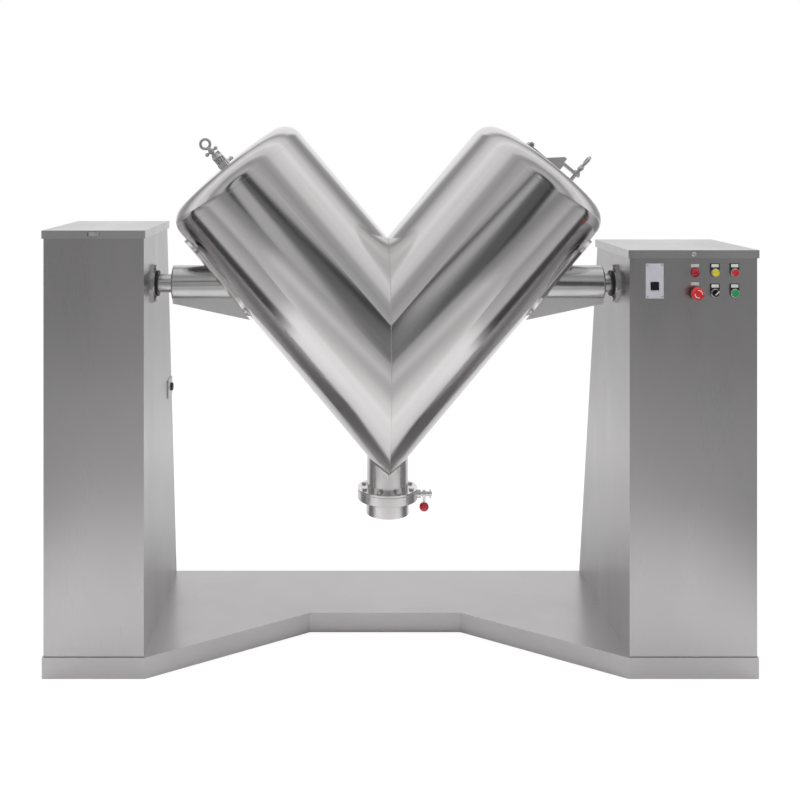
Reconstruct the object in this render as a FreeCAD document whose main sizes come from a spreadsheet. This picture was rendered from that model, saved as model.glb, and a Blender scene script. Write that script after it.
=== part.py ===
import FreeCAD, Part
import math
import os
import re

import Sketcher
from FreeCAD import Placement, Rotation, Vector

# V-type powder mixer. X runs along the trunnion shafts, the front is towards -Y and Z is up.
# The origin is on the floor, under the middle of the vessel and midway through the plinth's depth.

doc = FreeCAD.newDocument("powder_mixer")
sheet = doc.addObject("Spreadsheet::Sheet", "Sizes")

# Driving dimensions in millimetres and degrees: name, value, what it is.
SIZES = [
    ("plinth_height", 65, "height of the plinth"),
    ("plinth_wall", 4, "plate of the plinth"),
    ("plinth_lip", 4, "how far the plinth stands out past the columns"),
    ("base_depth", 660, "front to back of the plinth"),
    ("recess_depth", 309, "how far the front edge steps back between the columns"),
    ("recess_half", 252, "half length of the recess's straight edge"),
    ("left_inner", 753, "middle of the vessel to the left column"),
    ("right_inner", 733, "middle of the vessel to the right column"),
    ("left_width", 307, "width of the left column"),
    ("right_width", 390, "width of the right column"),
    ("left_top", 1370, "floor to the top of the left column"),
    ("right_top", 1310, "floor to the top of the right column"),
    ("left_top_depth", 440, "depth of the left column at its top"),
    ("right_top_depth", 385, "depth of the right column at its top"),
    ("column_setback", 1, "plinth's back edge in to the columns' backs"),
    ("sheet_wall", 3, "sheet of the columns"),
    ("door_flange", 22, "frame left around the door opening"),
    ("door_sheet", 3, "sheet of the back doors"),
    ("door_gap", 0.8, "gap between a door and its frame"),
    ("door_pan", 12, "depth of the pan that stiffens a door"),
    ("pan_inset", 32, "door edge to its pan"),
    ("hinge_radius", 5, "outer radius of a door hinge"),
    ("hinge_pin_radius", 2.5, "radius of a door hinge's pin"),
    ("hinge_length", 60, "length of a door hinge"),
    ("hinge_inset", 170, "end of a door to the middle of its hinge"),
    ("cap_lip", 25, "height of a cap's lip"),
    ("cap_sheet", 2, "sheet of the caps"),
    ("cap_overhang", 5, "cap past the column at front and sides"),
    ("cap_back", 14, "cap past the column at the back"),
    ("cap_slot_length", 39, "oblong cut-out in the left cap's lip"),
    ("cap_slot_height", 17, "height of that cut-out"),
    ("shaft_height", 1190, "floor to the trunnion axis"),
    ("shaft_setback", 150, "front of the columns to the trunnion axis"),
    ("shaft_radius", 30, "radius of both trunnion shafts"),
    ("shaft_hole", 34, "radius of the shaft's hole in sheet and plate"),
    ("left_shaft_tail", 70, "left shaft inside its column"),
    ("right_shaft_tail", 175, "right shaft inside its column"),
    ("hub_radius", 58, "radius of the hubs"),
    ("hub_reach", 686, "middle of the vessel to a hub's outer end"),
    ("hub_edge", 6, "rounding of a hub's outer edge"),
    ("shaft_root", 590, "middle of the vessel to a shaft's inner end"),
    ("fit_gap", 0.05, "running clearance on a radius"),
    ("weld_gap", 0.2, "gap left between welded pieces"),
    ("collar_radius", 41, "radius of the black shaft rings"),
    ("collar_width", 7, "width of the black shaft rings"),
    ("collar_gap", 2.5, "bearing housing to shaft ring"),
    ("flange_plate", 8, "thickness of a bearing flange"),
    ("flange_half", 61, "middle of a bearing flange to its tip"),
    ("barrel_radius", 40, "radius of a bearing housing's barrel"),
    ("barrel_length", 12, "column face to the end of the barrel"),
    ("bearing_radius", 36, "outer radius of a bearing"),
    ("bearing_bolt_half", 50, "trunnion axis to a bearing bolt"),
    ("bearing_bolt_radius", 5, "radius of a bearing bolt"),
    ("bolt_gap", 0.3, "clearance round a bolt"),
    ("backing_side", 230, "height of a backing plate"),
    ("backing_depth", 200, "front to back of a backing plate"),
    ("backing_plate", 10, "thickness of a backing plate"),
    ("drum_radius", 247.5, "outer radius of each vessel arm"),
    ("drum_wall", 4, "plate of the vessel"),
    ("half_angle", 40, "angle of each arm from upright"),
    ("axis_drop", 239, "trunnion axis down to where the arms' axes meet"),
    ("arm_length", 732, "meeting point to the start of the dished head"),
    ("knuckle", 60, "knuckle radius of the dished head"),
    ("crown", 1500, "crown radius of the dished head"),
    ("pad_plate", 8, "thickness of a pad plate"),
    ("pad_start", 404, "meeting point to a pad plate's lower end"),
    ("pad_end", 704, "meeting point to a pad plate's upper end"),
    ("pad_half", 90, "half width of a pad plate"),
    ("pad_corner", 60, "corner radius of a pad plate"),
    ("gusset_plate", 10, "thickness of a gusset"),
    ("gusset_spread", 34, "trunnion axis to the middle of a gusset"),
    ("gusset_tip_x", 436, "middle of the vessel to a gusset's lower tip"),
    ("gusset_tip_drop", 112, "trunnion axis down to a gusset's lower tip"),
    ("port_radius", 70, "outer radius of a charging port's ring"),
    ("port_opening", 54, "radius of a charging port's opening"),
    ("port_depth", 30, "depth of a charging port's ring"),
    ("port_rim", 4.2, "crown down to the ring's rim"),
    ("seat_drop", 14, "crown down to the seat of a lid"),
    ("lid_radius", 59.5, "radius of a lid"),
    ("lid_gap", 1.5, "gap round a lid"),
    ("gasket_plate", 2.5, "thickness of a lid's gasket"),
    ("strap_width", 28, "width of the strap across a lid"),
    ("strap_low", 4, "crown up to the strap's underside"),
    ("strap_plate", 8, "thickness of the strap"),
    ("lid_hinge_reach", 88, "middle of a lid to its hinge"),
    ("lid_hinge_rise", 12, "crown up to a lid's hinge"),
    ("lid_knuckle", 8, "outer radius of a lid's hinge knuckle"),
    ("lid_pin_radius", 4, "radius of a lid's hinge pin"),
    ("screw_reach", 84, "middle of a lid to its clamp screw"),
    ("screw_radius", 6, "radius of a clamp screw"),
    ("yoke_height", 38, "crown up to the top of the screw's yoke"),
    ("handle_height", 52, "crown up to the top of the strap's raised grip"),
    ("screw_boss", 9, "crown up to the top of the boss round a clamp screw"),
    ("yoke_post", 3, "radius of a yoke post"),
    ("yoke_half", 10.5, "clamp screw to a yoke post"),
    ("bar_rise", 58, "crown up to the cross bar"),
    ("bar_half", 17, "half length of the cross bar"),
    ("bar_radius", 3.5, "radius of the cross bar"),
    ("ring_rise", 88, "crown up to the middle of the ring handle"),
    ("ring_radius", 15, "radius of the ring handle's centre line"),
    ("ring_wire", 4.5, "radius of the ring handle's wire"),
    ("outlet_drop", 652, "trunnion axis down to the outlet flange"),
    ("neck_radius", 65.5, "outer radius of the outlet neck"),
    ("neck_wall", 3, "wall of the outlet neck"),
    ("neck_length", 150, "length of the neck before it is cut to the vessel"),
    ("valve_radius", 95, "radius of the outlet flange and valve"),
    ("valve_flange", 6, "thickness of the outlet flange"),
    ("valve_gasket", 2, "thickness of the flange gasket"),
    ("valve_height", 28, "height of the valve body"),
    ("spigot_radius", 67.5, "outer radius of the outlet spigot"),
    ("spigot_bore", 63.5, "inner radius of the outlet spigot"),
    ("spigot_length", 46, "length of the outlet spigot"),
    ("disc_gap", 0.3, "gap round the butterfly disc"),
    ("disc_middle", 9, "thickness of the disc at its middle"),
    ("disc_rim", 3, "thickness of the disc at its rim"),
    ("stem_radius", 7, "radius of the valve stem"),
    ("stem_reach", 142, "middle of the valve to the end of the stem"),
    ("boss_reach", 106, "middle of the valve to the end of the stem boss"),
    ("boss_radius", 13, "radius of the stem boss"),
    ("lever_place", 117, "middle of the valve to the lever"),
    ("lever_plate", 9, "thickness of the lever"),
    ("lever_length", 42, "stem to the middle of the ball knob"),
    ("ball_radius", 15, "radius of the ball knob"),
    ("bolt_circle", 80, "radius of the flange bolts' circle"),
    ("flange_bolt_radius", 4, "radius of a flange bolt"),
    ("panel_row", 69, "cap's top down to the upper row of controls"),
    ("panel_pitch_x", 60, "control to control across"),
    ("panel_pitch_z", 62, "control to control down"),
    ("panel_edge", 190, "column's outer face in to the first control"),
    ("switch_hole", 11.2, "radius of a control's hole"),
    ("holder_half", 14, "half width of a legend holder"),
    ("holder_plate", 3, "thickness of a legend holder"),
    ("holder_rise", 28, "control up to the holder's top edge"),
    ("bezel_radius", 13.5, "radius of a control's bezel"),
    ("bezel_height", 7, "height of a control's bezel"),
    ("button_radius", 10.8, "radius of a push button"),
    ("button_height", 9, "panel or holder to a button's face"),
    ("lamp_radius", 12.5, "radius of the indicator lamp"),
    ("estop_radius", 20, "radius of the emergency stop's head"),
    ("plate_width", 54, "width of the instrument plate"),
    ("plate_height", 107, "height of the instrument plate"),
    ("plate_start", 49, "column's inner face to the instrument plate"),
    ("plate_drop", 41, "cap's top down to the instrument plate"),
    ("plate_sheet", 2.5, "thickness of the instrument plate"),
    ("window_side", 25, "side of the timer window"),
    ("window_drop", 69, "instrument plate's top to the window's middle"),
    ("reducer_width", 150, "reducer along the shaft"),
    ("reducer_depth", 190, "reducer front to back"),
    ("reducer_height", 230, "height of the reducer"),
    ("reducer_start", 18, "backing plate to the reducer"),
    ("motor_radius", 78, "radius over the motor's body"),
    ("motor_length", 230, "length of the motor's finned body"),
    ("fin_height", 9, "height of a cooling fin"),
    ("fin_plate", 4, "thickness of a cooling fin"),
    ("louvre_half", 60, "half width of a louvre in the right door"),
    ("lock_height", 782, "floor to the door lock"),
    ("gland_radius", 11, "radius of the cable gland"),
]

for row, (alias, number, meaning) in enumerate(SIZES, start=1):
    sheet.set("A%d" % row, alias)
    sheet.set("B%d" % row, str(number))
    sheet.set("C%d" % row, meaning)
    sheet.setAlias("B%d" % row, alias)
doc.recompute()

ALIASES = {alias for alias, _, _ in SIZES}
NODES = {}

# Lines that many pieces share, as formulas of the sheet's names.
FRONT = "(-base_depth / 2 + plinth_lip)"
FOOT_DEPTH = "(base_depth - plinth_lip - column_setback)"
SHAFT_Y = "(-base_depth / 2 + plinth_lip + shaft_setback)"
MEET_Z = "(shaft_height - axis_drop)"
OUTLET_Z = "(shaft_height - outlet_drop)"
STEM_Z = "(shaft_height - outlet_drop - valve_flange - valve_gasket - valve_height / 2)"
CROWN_DROP = "sqrt((crown - knuckle)^2 - (drum_radius - knuckle)^2)"
APEX = "(arm_length - %s + crown)" % CROWN_DROP
FAR = "4000"

ALONG_X = Rotation(Vector(0, 1, 0), 90)
ALONG_MINUS_Y = Rotation(Vector(1, 0, 0), 90)
ALONG_Y = Rotation(Vector(1, 0, 0), -90)
UPRIGHT = Rotation()


# Helpers

def formula(text):
    """Puts the sheet's name before each of its cells' names."""
    return re.sub(r"[a-z_]+",
                  lambda word: "Sizes." + word.group(0) if word.group(0) in ALIASES else word.group(0),
                  str(text))


def size(text):
    """The number that a formula gives now."""
    number = sheet.evalExpression(formula(text))
    return float(getattr(number, "Value", number))


def bind(thing, prop, text):
    thing.setExpression(prop, formula(text))


def place(thing, spot, turn=UPRIGHT):
    thing.Placement = Placement(Vector(*(size(text) for text in spot)), turn)
    for axis, text in zip("xyz", spot):
        bind(thing, "Placement.Base." + axis, text)
    return thing


def node(label, thing):
    """Makes a finished piece a sub-part with a name of its own."""
    thing.Label = label
    NODES[label] = thing
    return thing


def block(low, sizes, turn=UPRIGHT):
    piece = doc.addObject("Part::Box", "block")
    for prop, text in zip(("Length", "Width", "Height"), sizes):
        bind(piece, prop, text)
    return place(piece, low, turn)


def rod(start, radius, length, turn=UPRIGHT):
    piece = doc.addObject("Part::Cylinder", "rod")
    bind(piece, "Radius", radius)
    bind(piece, "Height", length)
    return place(piece, start, turn)


def ball(centre, radius):
    piece = doc.addObject("Part::Sphere", "ball")
    bind(piece, "Radius", radius)
    return place(piece, centre)


def cut(base, *tools):
    for tool in tools:
        piece = doc.addObject("Part::Cut", "cut")
        piece.Base = base
        piece.Tool = tool
        base = piece
    return base


def fuse(*pieces):
    piece = doc.addObject("Part::MultiFuse", "fuse")
    piece.Shapes = list(pieces)
    piece.Refine = True
    return piece


def common(*pieces):
    piece = doc.addObject("Part::MultiCommon", "common")
    piece.Shapes = list(pieces)
    return piece


def group(*pieces):
    """Separate solids that share one node."""
    piece = doc.addObject("Part::Compound", "group")
    piece.Links = list(pieces)
    return piece


def tube(start, outer, inner, length, turn=UPRIGHT):
    return cut(rod(start, outer, length, turn), rod(start, inner, length, turn))


def body(spot=("0", "0", "0"), turn=UPRIGHT):
    return place(doc.addObject("PartDesign::Body", "body"), spot, turn)


def sketch(owner, plane, offset="0"):
    piece = owner.newObject("Sketcher::SketchObject", "sketch")
    origin = next(item for item in owner.Origin.OriginFeatures if item.Role == plane)
    piece.AttachmentSupport = [(origin, "")]
    piece.MapMode = "FlatFace"
    bind(piece, "AttachmentOffset.Base.z", offset)
    return piece


def pin_point(piece, geometry, end, spot):
    """Ties one end of an edge, or a centre, to two formulas."""
    for kind, text in zip(("DistanceX", "DistanceY"), spot):
        rule = piece.addConstraint(Sketcher.Constraint(kind, -1, 1, geometry, end, size(text)))
        bind(piece, "Constraints[%d]" % rule, text)


def outline(piece, corners):
    """Draws a closed outline. A corner is (u, v), or (u, v, radius, turn) where an arc runs to the next corner,
    turn being 1 for counter-clockwise and -1 for clockwise, and radius "half" for a half circle."""
    spots = [Vector(size(corner[0]), size(corner[1]), 0) for corner in corners]
    ends = []
    for index, corner in enumerate(corners):
        start = spots[index]
        finish = spots[(index + 1) % len(spots)]
        if len(corner) == 2:
            geometry = piece.addGeometry(Part.LineSegment(start, finish))
            ends.append((geometry, 1, 2))
            continue
        first, last = (start, finish) if corner[3] > 0 else (finish, start)
        chord = last - first
        radius = chord.Length / 2 if corner[2] == "half" else size(corner[2])
        rise = math.sqrt(max(radius ** 2 - chord.Length ** 2 / 4, 0))
        centre = (first + last) / 2 + Vector(-chord.y, chord.x, 0).normalize() * rise
        low = math.atan2(first.y - centre.y, first.x - centre.x)
        high = math.atan2(last.y - centre.y, last.x - centre.x)
        circle = Part.Circle(centre, Vector(0, 0, 1), radius)
        full = high if high > low else high + 2 * math.pi
        geometry = piece.addGeometry(Part.ArcOfCircle(circle, low, full))
        ends.append((geometry, 1, 2) if corner[3] > 0 else (geometry, 2, 1))
    for index, (geometry, _, finish) in enumerate(ends):
        following, start, _ = ends[(index + 1) % len(ends)]
        piece.addConstraint(Sketcher.Constraint("Coincident", geometry, finish, following, start))
    for index, (geometry, start, _) in enumerate(ends):
        corner = corners[index]
        pin_point(piece, geometry, start, corner[:2])
        if len(corner) == 2:
            continue
        if corner[2] != "half":
            rule = piece.addConstraint(Sketcher.Constraint("Radius", geometry, size(corner[2])))
            bind(piece, "Constraints[%d]" % rule, corner[2])
            continue
        following = (index + 1) % len(corners)
        chord = spots[following] - spots[index]
        side = 1 if abs(chord.x) > abs(chord.y) else 0
        text = "((%s) + (%s)) / 2" % (corner[side], corners[following][side])
        kind = ("DistanceX", "DistanceY")[side]
        rule = piece.addConstraint(Sketcher.Constraint(kind, -1, 1, geometry, 3, size(text)))
        bind(piece, "Constraints[%d]" % rule, text)
    return piece


def circle(piece, centre, radius):
    geometry = piece.addGeometry(Part.Circle(Vector(size(centre[0]), size(centre[1]), 0), Vector(0, 0, 1),
                                             size(radius)))
    pin_point(piece, geometry, 3, centre)
    rule = piece.addConstraint(Sketcher.Constraint("Radius", geometry, size(radius)))
    bind(piece, "Constraints[%d]" % rule, radius)
    return piece


def corners_of(left, right, low, high):
    return [(left, low), (right, low), (right, high), (left, high)]


def feature(owner, kind, profile, length=None, backwards=False, both_ways=False):
    piece = owner.newObject("PartDesign::" + kind, kind.lower())
    piece.Profile = profile
    piece.Reversed = backwards
    if both_ways:
        piece.SideType = "Symmetric"
    if length is None:
        piece.Type = "ThroughAll"
    else:
        bind(piece, "Length", length)
    return piece


def pad(owner, profile, length, backwards=False, both_ways=False):
    return feature(owner, "Pad", profile, length, backwards, both_ways)


def pocket(owner, profile, length=None, backwards=False, both_ways=False):
    return feature(owner, "Pocket", profile, length, backwards, both_ways)


def revolve(owner, profile, axis="V_Axis"):
    piece = owner.newObject("PartDesign::Revolution", "revolution")
    piece.Profile = profile
    piece.ReferenceAxis = (profile, [axis])
    piece.Angle = 360
    return piece


def around(owner, features, axis, count):
    piece = owner.newObject("PartDesign::PolarPattern", "pattern")
    piece.Originals = features
    piece.Axis = (next(item for item in owner.Origin.OriginFeatures if item.Role == axis), [""])
    piece.Angle = 360
    piece.Occurrences = count
    owner.Tip = piece
    return piece


def fillet(owner, radius, wanted):
    """Rounds the edges of the tip for which wanted(edge) holds."""
    doc.recompute()
    names = ["Edge%d" % number for number, edge in enumerate(owner.Tip.Shape.Edges, start=1) if wanted(edge)]
    piece = owner.newObject("PartDesign::Fillet", "fillet")
    piece.Base = (owner.Tip if owner.Tip != piece else piece.BaseFeature, names)
    bind(piece, "Radius", radius)
    return piece


# Plinth

def base_plinth():
    piece = body()
    low_x = "-(left_inner + left_width + plinth_lip)"
    high_x = "right_inner + right_width + plinth_lip"

    def bow_tie(inset):
        step = "(%s)" % inset
        return [
            ("%s + %s" % (low_x, step), "-base_depth / 2 + %s" % step),
            ("-(left_inner - plinth_lip) - %s" % step, "-base_depth / 2 + %s" % step),
            ("-recess_half - %s / 2" % step, "-base_depth / 2 + recess_depth + %s" % step),
            ("recess_half + %s / 2" % step, "-base_depth / 2 + recess_depth + %s" % step),
            ("right_inner - plinth_lip + %s" % step, "-base_depth / 2 + %s" % step),
            ("%s - %s" % (high_x, step), "-base_depth / 2 + %s" % step),
            ("%s - %s" % (high_x, step), "base_depth / 2 - %s" % step),
            ("%s + %s" % (low_x, step), "base_depth / 2 - %s" % step),
        ]

    pad(piece, outline(sketch(piece, "XY_Plane"), bow_tie("0")), "plinth_height")
    inside = outline(sketch(piece, "XY_Plane", "plinth_wall"), bow_tie("plinth_wall"))
    pocket(piece, inside, "plinth_height - 2 * plinth_wall", backwards=True)
    node("base_plinth", piece)


# Columns. Each side is named by its prefix, and low is the X of its left wall.

def column(side):
    left = side == "left"
    names = {
        "low": "(-left_inner - left_width)" if left else "right_inner",
        "width": side + "_width",
        "top": side + "_top",
        "top_depth": side + "_top_depth",
        "inner": "(-left_inner)" if left else "right_inner",
    }
    names["back"] = "(%s + %s - door_sheet - door_gap)" % (FRONT, names["top_depth"])
    names["foot"] = "(%s + %s - door_sheet - door_gap)" % (FRONT, FOOT_DEPTH)
    names["shelf"] = "(%s - cap_sheet)" % names["top"]
    return names


def side_view(names, back_inset, beyond=False):
    """The column's outline seen from the side, as (y, z). Beyond runs it out past the back and the top."""
    wall = "sheet_wall"
    if not beyond:
        return [(FRONT, "plinth_height"), (names["foot"], "plinth_height"),
                (names["back"], names["shelf"]), (FRONT, names["shelf"])]
    rise = "200"
    return [
        ("%s + %s" % (FRONT, wall), "plinth_height + %s" % wall),
        ("%s - %s" % (names["foot"], back_inset), "plinth_height + %s" % wall),
        ("%s - %s - (%s - %s) * %s / (%s - plinth_height)" % (
            names["back"], back_inset, names["foot"], names["back"], rise, names["shelf"]),
         "%s + %s" % (names["shelf"], rise)),
        ("%s + %s" % (FRONT, wall), "%s + %s" % (names["shelf"], rise)),
    ]


def column_shell(side):
    names = column(side)
    piece = body((names["low"], "0", "0"))
    pad(piece, outline(sketch(piece, "YZ_Plane"), side_view(names, "0")), names["width"])
    inside = outline(sketch(piece, "YZ_Plane", "sheet_wall"), side_view(names, "sheet_wall", True))
    pocket(piece, inside, names["width"] + " - 2 * sheet_wall", backwards=True)
    doorway = outline(sketch(piece, "YZ_Plane", "door_flange"), side_view(names, "-20", True))
    pocket(piece, doorway, names["width"] + " - 2 * door_flange", backwards=True)
    for spot, radius in shell_holes(side):
        hole = sketch(piece, spot[0], spot[3])
        circle(hole, spot[1:3], radius)
        pocket(piece, hole, "4 * sheet_wall", both_ways=True)
    if side == "right":
        window = sketch(piece, "XZ_Plane", "-" + FRONT)
        middle = "(plate_start + plate_width / 2)"
        centre = "(right_top - plate_drop - window_drop)"
        outline(window, corners_of(middle + " - window_side / 2 - 1", middle + " + window_side / 2 + 1",
                                   centre + " - window_side / 2 - 1", centre + " + window_side / 2 + 1"))
        pocket(piece, window, "4 * sheet_wall", both_ways=True)
    node(side + "_column_shell", piece)


def shell_holes(side):
    """Round holes of a shell: ((plane, u, v, offset), radius). In the inner wall they are for the shaft and its
    bearing bolts, in the front for the controls."""
    wall = "left_width" if side == "left" else "0"
    holes = [(("YZ_Plane", SHAFT_Y, "shaft_height", wall), "shaft_hole")]
    for sign in ("+", "-"):
        spot = ("YZ_Plane", SHAFT_Y, "shaft_height %s bearing_bolt_half" % sign, wall)
        holes.append((spot, "bearing_bolt_radius + bolt_gap"))
    if side == "right":
        for number in range(6):
            across, down = control_spot(number)
            holes.append((("XZ_Plane", across, down, "-" + FRONT), "switch_hole"))
    return holes


def control_spot(number):
    """Where a control sits: X from the right column's inner face, and Z. 0 to 2 are the upper row."""
    return ("(right_width - panel_edge + %d * panel_pitch_x)" % (number % 3),
            "(right_top - panel_row - %d * panel_pitch_z)" % (number // 3))


def column_cap(side):
    names = column(side)
    low = names["low"] + " - cap_overhang"
    high = "%s + %s + cap_overhang" % (names["low"], names["width"])
    front = FRONT + " - cap_overhang"
    back = "%s + %s + cap_back" % (FRONT, names["top_depth"])
    piece = body(("0", "0", names["top"] + " - cap_lip"))
    pad(piece, outline(sketch(piece, "XY_Plane"), corners_of(low, high, front, back)), "cap_lip")
    inside = sketch(piece, "XY_Plane")
    outline(inside, corners_of(low + " + cap_sheet", high + " - cap_sheet",
                               front + " + cap_sheet", back + " - cap_sheet"))
    pocket(piece, inside, "cap_lip - cap_sheet", backwards=True)
    middle = "(%s + %s / 2)" % (names["low"], names["width"])
    lip = sketch(piece, "XZ_Plane", "-(%s)" % front)
    if side == "left":
        centre = "(cap_lip / 2 + 1)"
        flat = "((cap_slot_length - cap_slot_height) / 2)"
        half = "(cap_slot_height / 2)"
        outline(lip, [
            ("%s - %s" % (middle, flat), "%s - %s" % (centre, half)),
            ("%s + %s" % (middle, flat), "%s - %s" % (centre, half), "half", 1),
            ("%s + %s" % (middle, flat), "%s + %s" % (centre, half)),
            ("%s - %s" % (middle, flat), "%s + %s" % (centre, half), "half", 1),
        ])
    else:
        circle(lip, (middle, "cap_lip / 2"), "4.3")
    pocket(piece, lip, "3 * cap_sheet", both_ways=True)
    node(side + "_column_cap", piece)


def cap_fasteners():
    """The hook behind the left cap's cut-out, and the round-headed screw of the right cap."""
    names = column("left")
    middle = "(%s + left_width / 2)" % names["low"]
    height = "(left_top - cap_lip / 2 + 1)"
    face = "(%s - cap_overhang + cap_sheet)" % FRONT
    plate = block((middle + " - 15", FRONT + " - 2", height + " - 7"), ("30", "2", "14"))
    nose = rod((middle + " + 3", FRONT + " - 2", height), "4", "cap_overhang + 1", ALONG_MINUS_Y)
    head = rod((middle + " + 3", face + " - cap_sheet - 1", height), "6", "2.5", ALONG_MINUS_Y)
    node("left_cap_catch", fuse(plate, nose, head))
    names = column("right")
    middle = "(right_inner + right_width / 2)"
    height = "(right_top - cap_lip / 2)"
    face = "(%s - cap_overhang)" % FRONT
    shank = rod((middle, FRONT, height), "4", "cap_overhang + 1", ALONG_MINUS_Y)
    head = body((middle, face, height), ALONG_MINUS_Y)
    revolve(head, outline(sketch(head, "XZ_Plane"), [
        ("0", "0.2"), ("7", "0.2"), ("7", "2.5", "3.5", 1), ("4.5", "5"), ("0", "5")]))
    slot = block((middle + " - 8", face + " - 6", height + " - 1"), ("16", "2.5", "2"))
    node("right_cap_screw", cut(fuse(shank, head), slot))


# Back doors. They are drawn in the plane of the sloping back: x across, y outwards, z up the slope.

def door_frame(side):
    names = column(side)
    rise = size(names["shelf"]) - size("plinth_height")
    run = size(FOOT_DEPTH) - size(names["top_depth"])
    slope = math.atan2(run, rise)
    hinge_x = size(names["low"]) if side == "left" else size(names["low"]) + size(names["width"])
    lift = 3.0
    foot_y = size(FRONT) + size(FOOT_DEPTH) - lift * math.tan(slope)
    foot = Vector(hinge_x, foot_y, size("plinth_height") + lift)
    length = (rise - size("cap_lip") - lift) / math.cos(slope)
    return Placement(foot, Rotation(Vector(1, 0, 0), math.degrees(slope))), length


def back_door(side):
    frame, length = door_frame(side)
    width = size(side + "_width")
    sheet_thick = size("door_sheet")
    inset = size("pan_inset")
    sign = 1 if side == "left" else -1

    def slab(start_x, end_x, start_y, end_y, start_z, end_z):
        low = Vector(min(sign * start_x, sign * end_x), start_y, start_z)
        return Part.makeBox(abs(end_x - start_x), end_y - start_y, end_z - start_z, low)

    panel = slab(0.5, width - 0.5, -sheet_thick, 0, 0, length)
    pan = slab(inset, width - inset, -sheet_thick - size("door_pan"), -sheet_thick, inset, length - inset)
    hollow = slab(inset + 2, width - inset - 2, -sheet_thick - size("door_pan") - 1, -sheet_thick,
                  inset + 2, length - inset - 2)
    door = panel.fuse(pan.cut(hollow))
    knuckles = []
    radius = size("hinge_radius")
    pin = size("hinge_pin_radius")
    half = size("hinge_length") / 2
    for middle in (size("hinge_inset"), length - size("hinge_inset")):
        knuckle = Part.makeCylinder(radius, half - 0.3, Vector(0, radius, middle + 0.3))
        leaf = slab(0.5, 16, -1, 2.5, middle + 0.3, middle + half)
        bore = Part.makeCylinder(pin + size("fit_gap"), half, Vector(0, radius, middle))
        door = door.fuse(knuckle.fuse(leaf)).cut(bore)
        lower = Part.makeCylinder(radius, half, Vector(0, radius, middle - half))
        fixed_leaf = slab(-2.4, -0.3, -16, radius, middle - half, middle)
        axle = Part.makeCylinder(pin, half - 2, Vector(0, radius, middle))
        knuckles.append(lower.fuse(fixed_leaf).fuse(axle).removeSplitter())
    if side == "right":
        for number in range(7):
            height = length * 0.2 + number * 22
            half = size("louvre_half")
            slot = slab(width / 2 - half, width / 2 + half, -sheet_thick - 1, 1, height, height + 7)
            door = door.cut(slot)
    piece = doc.addObject("Part::Feature", "door")
    piece.Shape = door.removeSplitter()
    piece.Placement = frame
    node(side + "_back_door", piece)
    hinges = doc.addObject("Part::Feature", "hinges")
    hinges.Shape = Part.makeCompound(knuckles)
    hinges.Placement = frame
    return hinges


def door_lock():
    """The lock plate on the left column's inner face, and its knob."""
    names = column("left")
    height = "lock_height"
    back = "(%s - (%s - %s) * (lock_height - plinth_height) / (%s - plinth_height))" % (
        names["foot"], names["foot"], names["back"], names["shelf"])
    plate = body((names["inner"], back + " - 50", height), ALONG_X)
    pad(plate, outline(sketch(plate, "XY_Plane", "0.2"), corners_of("-32", "32", "-42", "42")), "4")
    circle_sketch = circle(sketch(plate, "XY_Plane"), ("0", "12"), "8.2")
    pocket(plate, circle_sketch, "10", backwards=True)
    fillet(plate, "5", lambda edge: len(edge.Vertexes) == 2 and edge.Length < 4.5)
    node("door_lock_plate", plate)
    knob = body((names["inner"], back + " - 38", height), ALONG_X)
    revolve(knob, outline(sketch(knob, "XZ_Plane"), [
        ("0", "0.5"), ("7.9", "0.5"), ("7.9", "4.6"), ("14", "4.6"), ("14", "9", "3", 1), ("11", "12"),
        ("0", "12")]))
    bar = sketch(knob, "XY_Plane", "12.5")
    outline(bar, corners_of("-11", "11", "-2.5", "2.5"))
    pocket(knob, bar, "3")
    node("door_lock_knob", knob)


# Bearings

def bearing_housing(side):
    sign = "-" if side == "left" else ""
    turn = Rotation(Vector(0, 1, 0), 90 if side == "left" else -90)
    piece = body((sign + side + "_inner", SHAFT_Y, "shaft_height"), turn)
    flange = sketch(piece, "XY_Plane")
    tip = "(bearing_bolt_radius + 7)"
    wide = "(barrel_radius + 3)"
    outline(flange, [
        ("-flange_half", "-" + tip), ("-%s * 0.4" % wide, "-" + wide), ("%s * 0.4" % wide, "-" + wide),
        ("flange_half", "-" + tip), ("flange_half", tip), ("%s * 0.4" % wide, wide),
        ("-%s * 0.4" % wide, wide), ("-flange_half", tip)])
    pad(piece, flange, "flange_plate")
    pad(piece, circle(sketch(piece, "XY_Plane"), ("0", "0"), "barrel_radius"), "barrel_length")
    pocket(piece, circle(sketch(piece, "XY_Plane"), ("0", "0"), "bearing_radius"), "2 * barrel_length",
           both_ways=False, backwards=True)
    for spot in ("-bearing_bolt_half", "bearing_bolt_half"):
        hole = circle(sketch(piece, "XY_Plane"), (spot, "0"), "bearing_bolt_radius + bolt_gap")
        pocket(piece, hole, "2 * barrel_length", backwards=True)
    fillet(piece, "6", lambda edge: len(edge.Vertexes) == 2 and abs(edge.Length - size("flange_plate")) < 0.01
           and abs(edge.tangentAt(edge.FirstParameter).z) > 0.99)
    node(side + "_bearing_housing", piece)


def side_sign(side):
    """Which way X runs from the vessel to this column, as text and as a turn for rods."""
    if side == "left":
        return "-", Rotation(Vector(0, 1, 0), -90)
    return "", ALONG_X


def trunnion(side, near, outer, inner, length):
    """A ring round the trunnion axis that starts near the vessel and runs outwards."""
    sign, turn = side_sign(side)
    return tube(("%s(%s)" % (sign, near), SHAFT_Y, "shaft_height"), outer, inner, length, turn)


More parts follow.
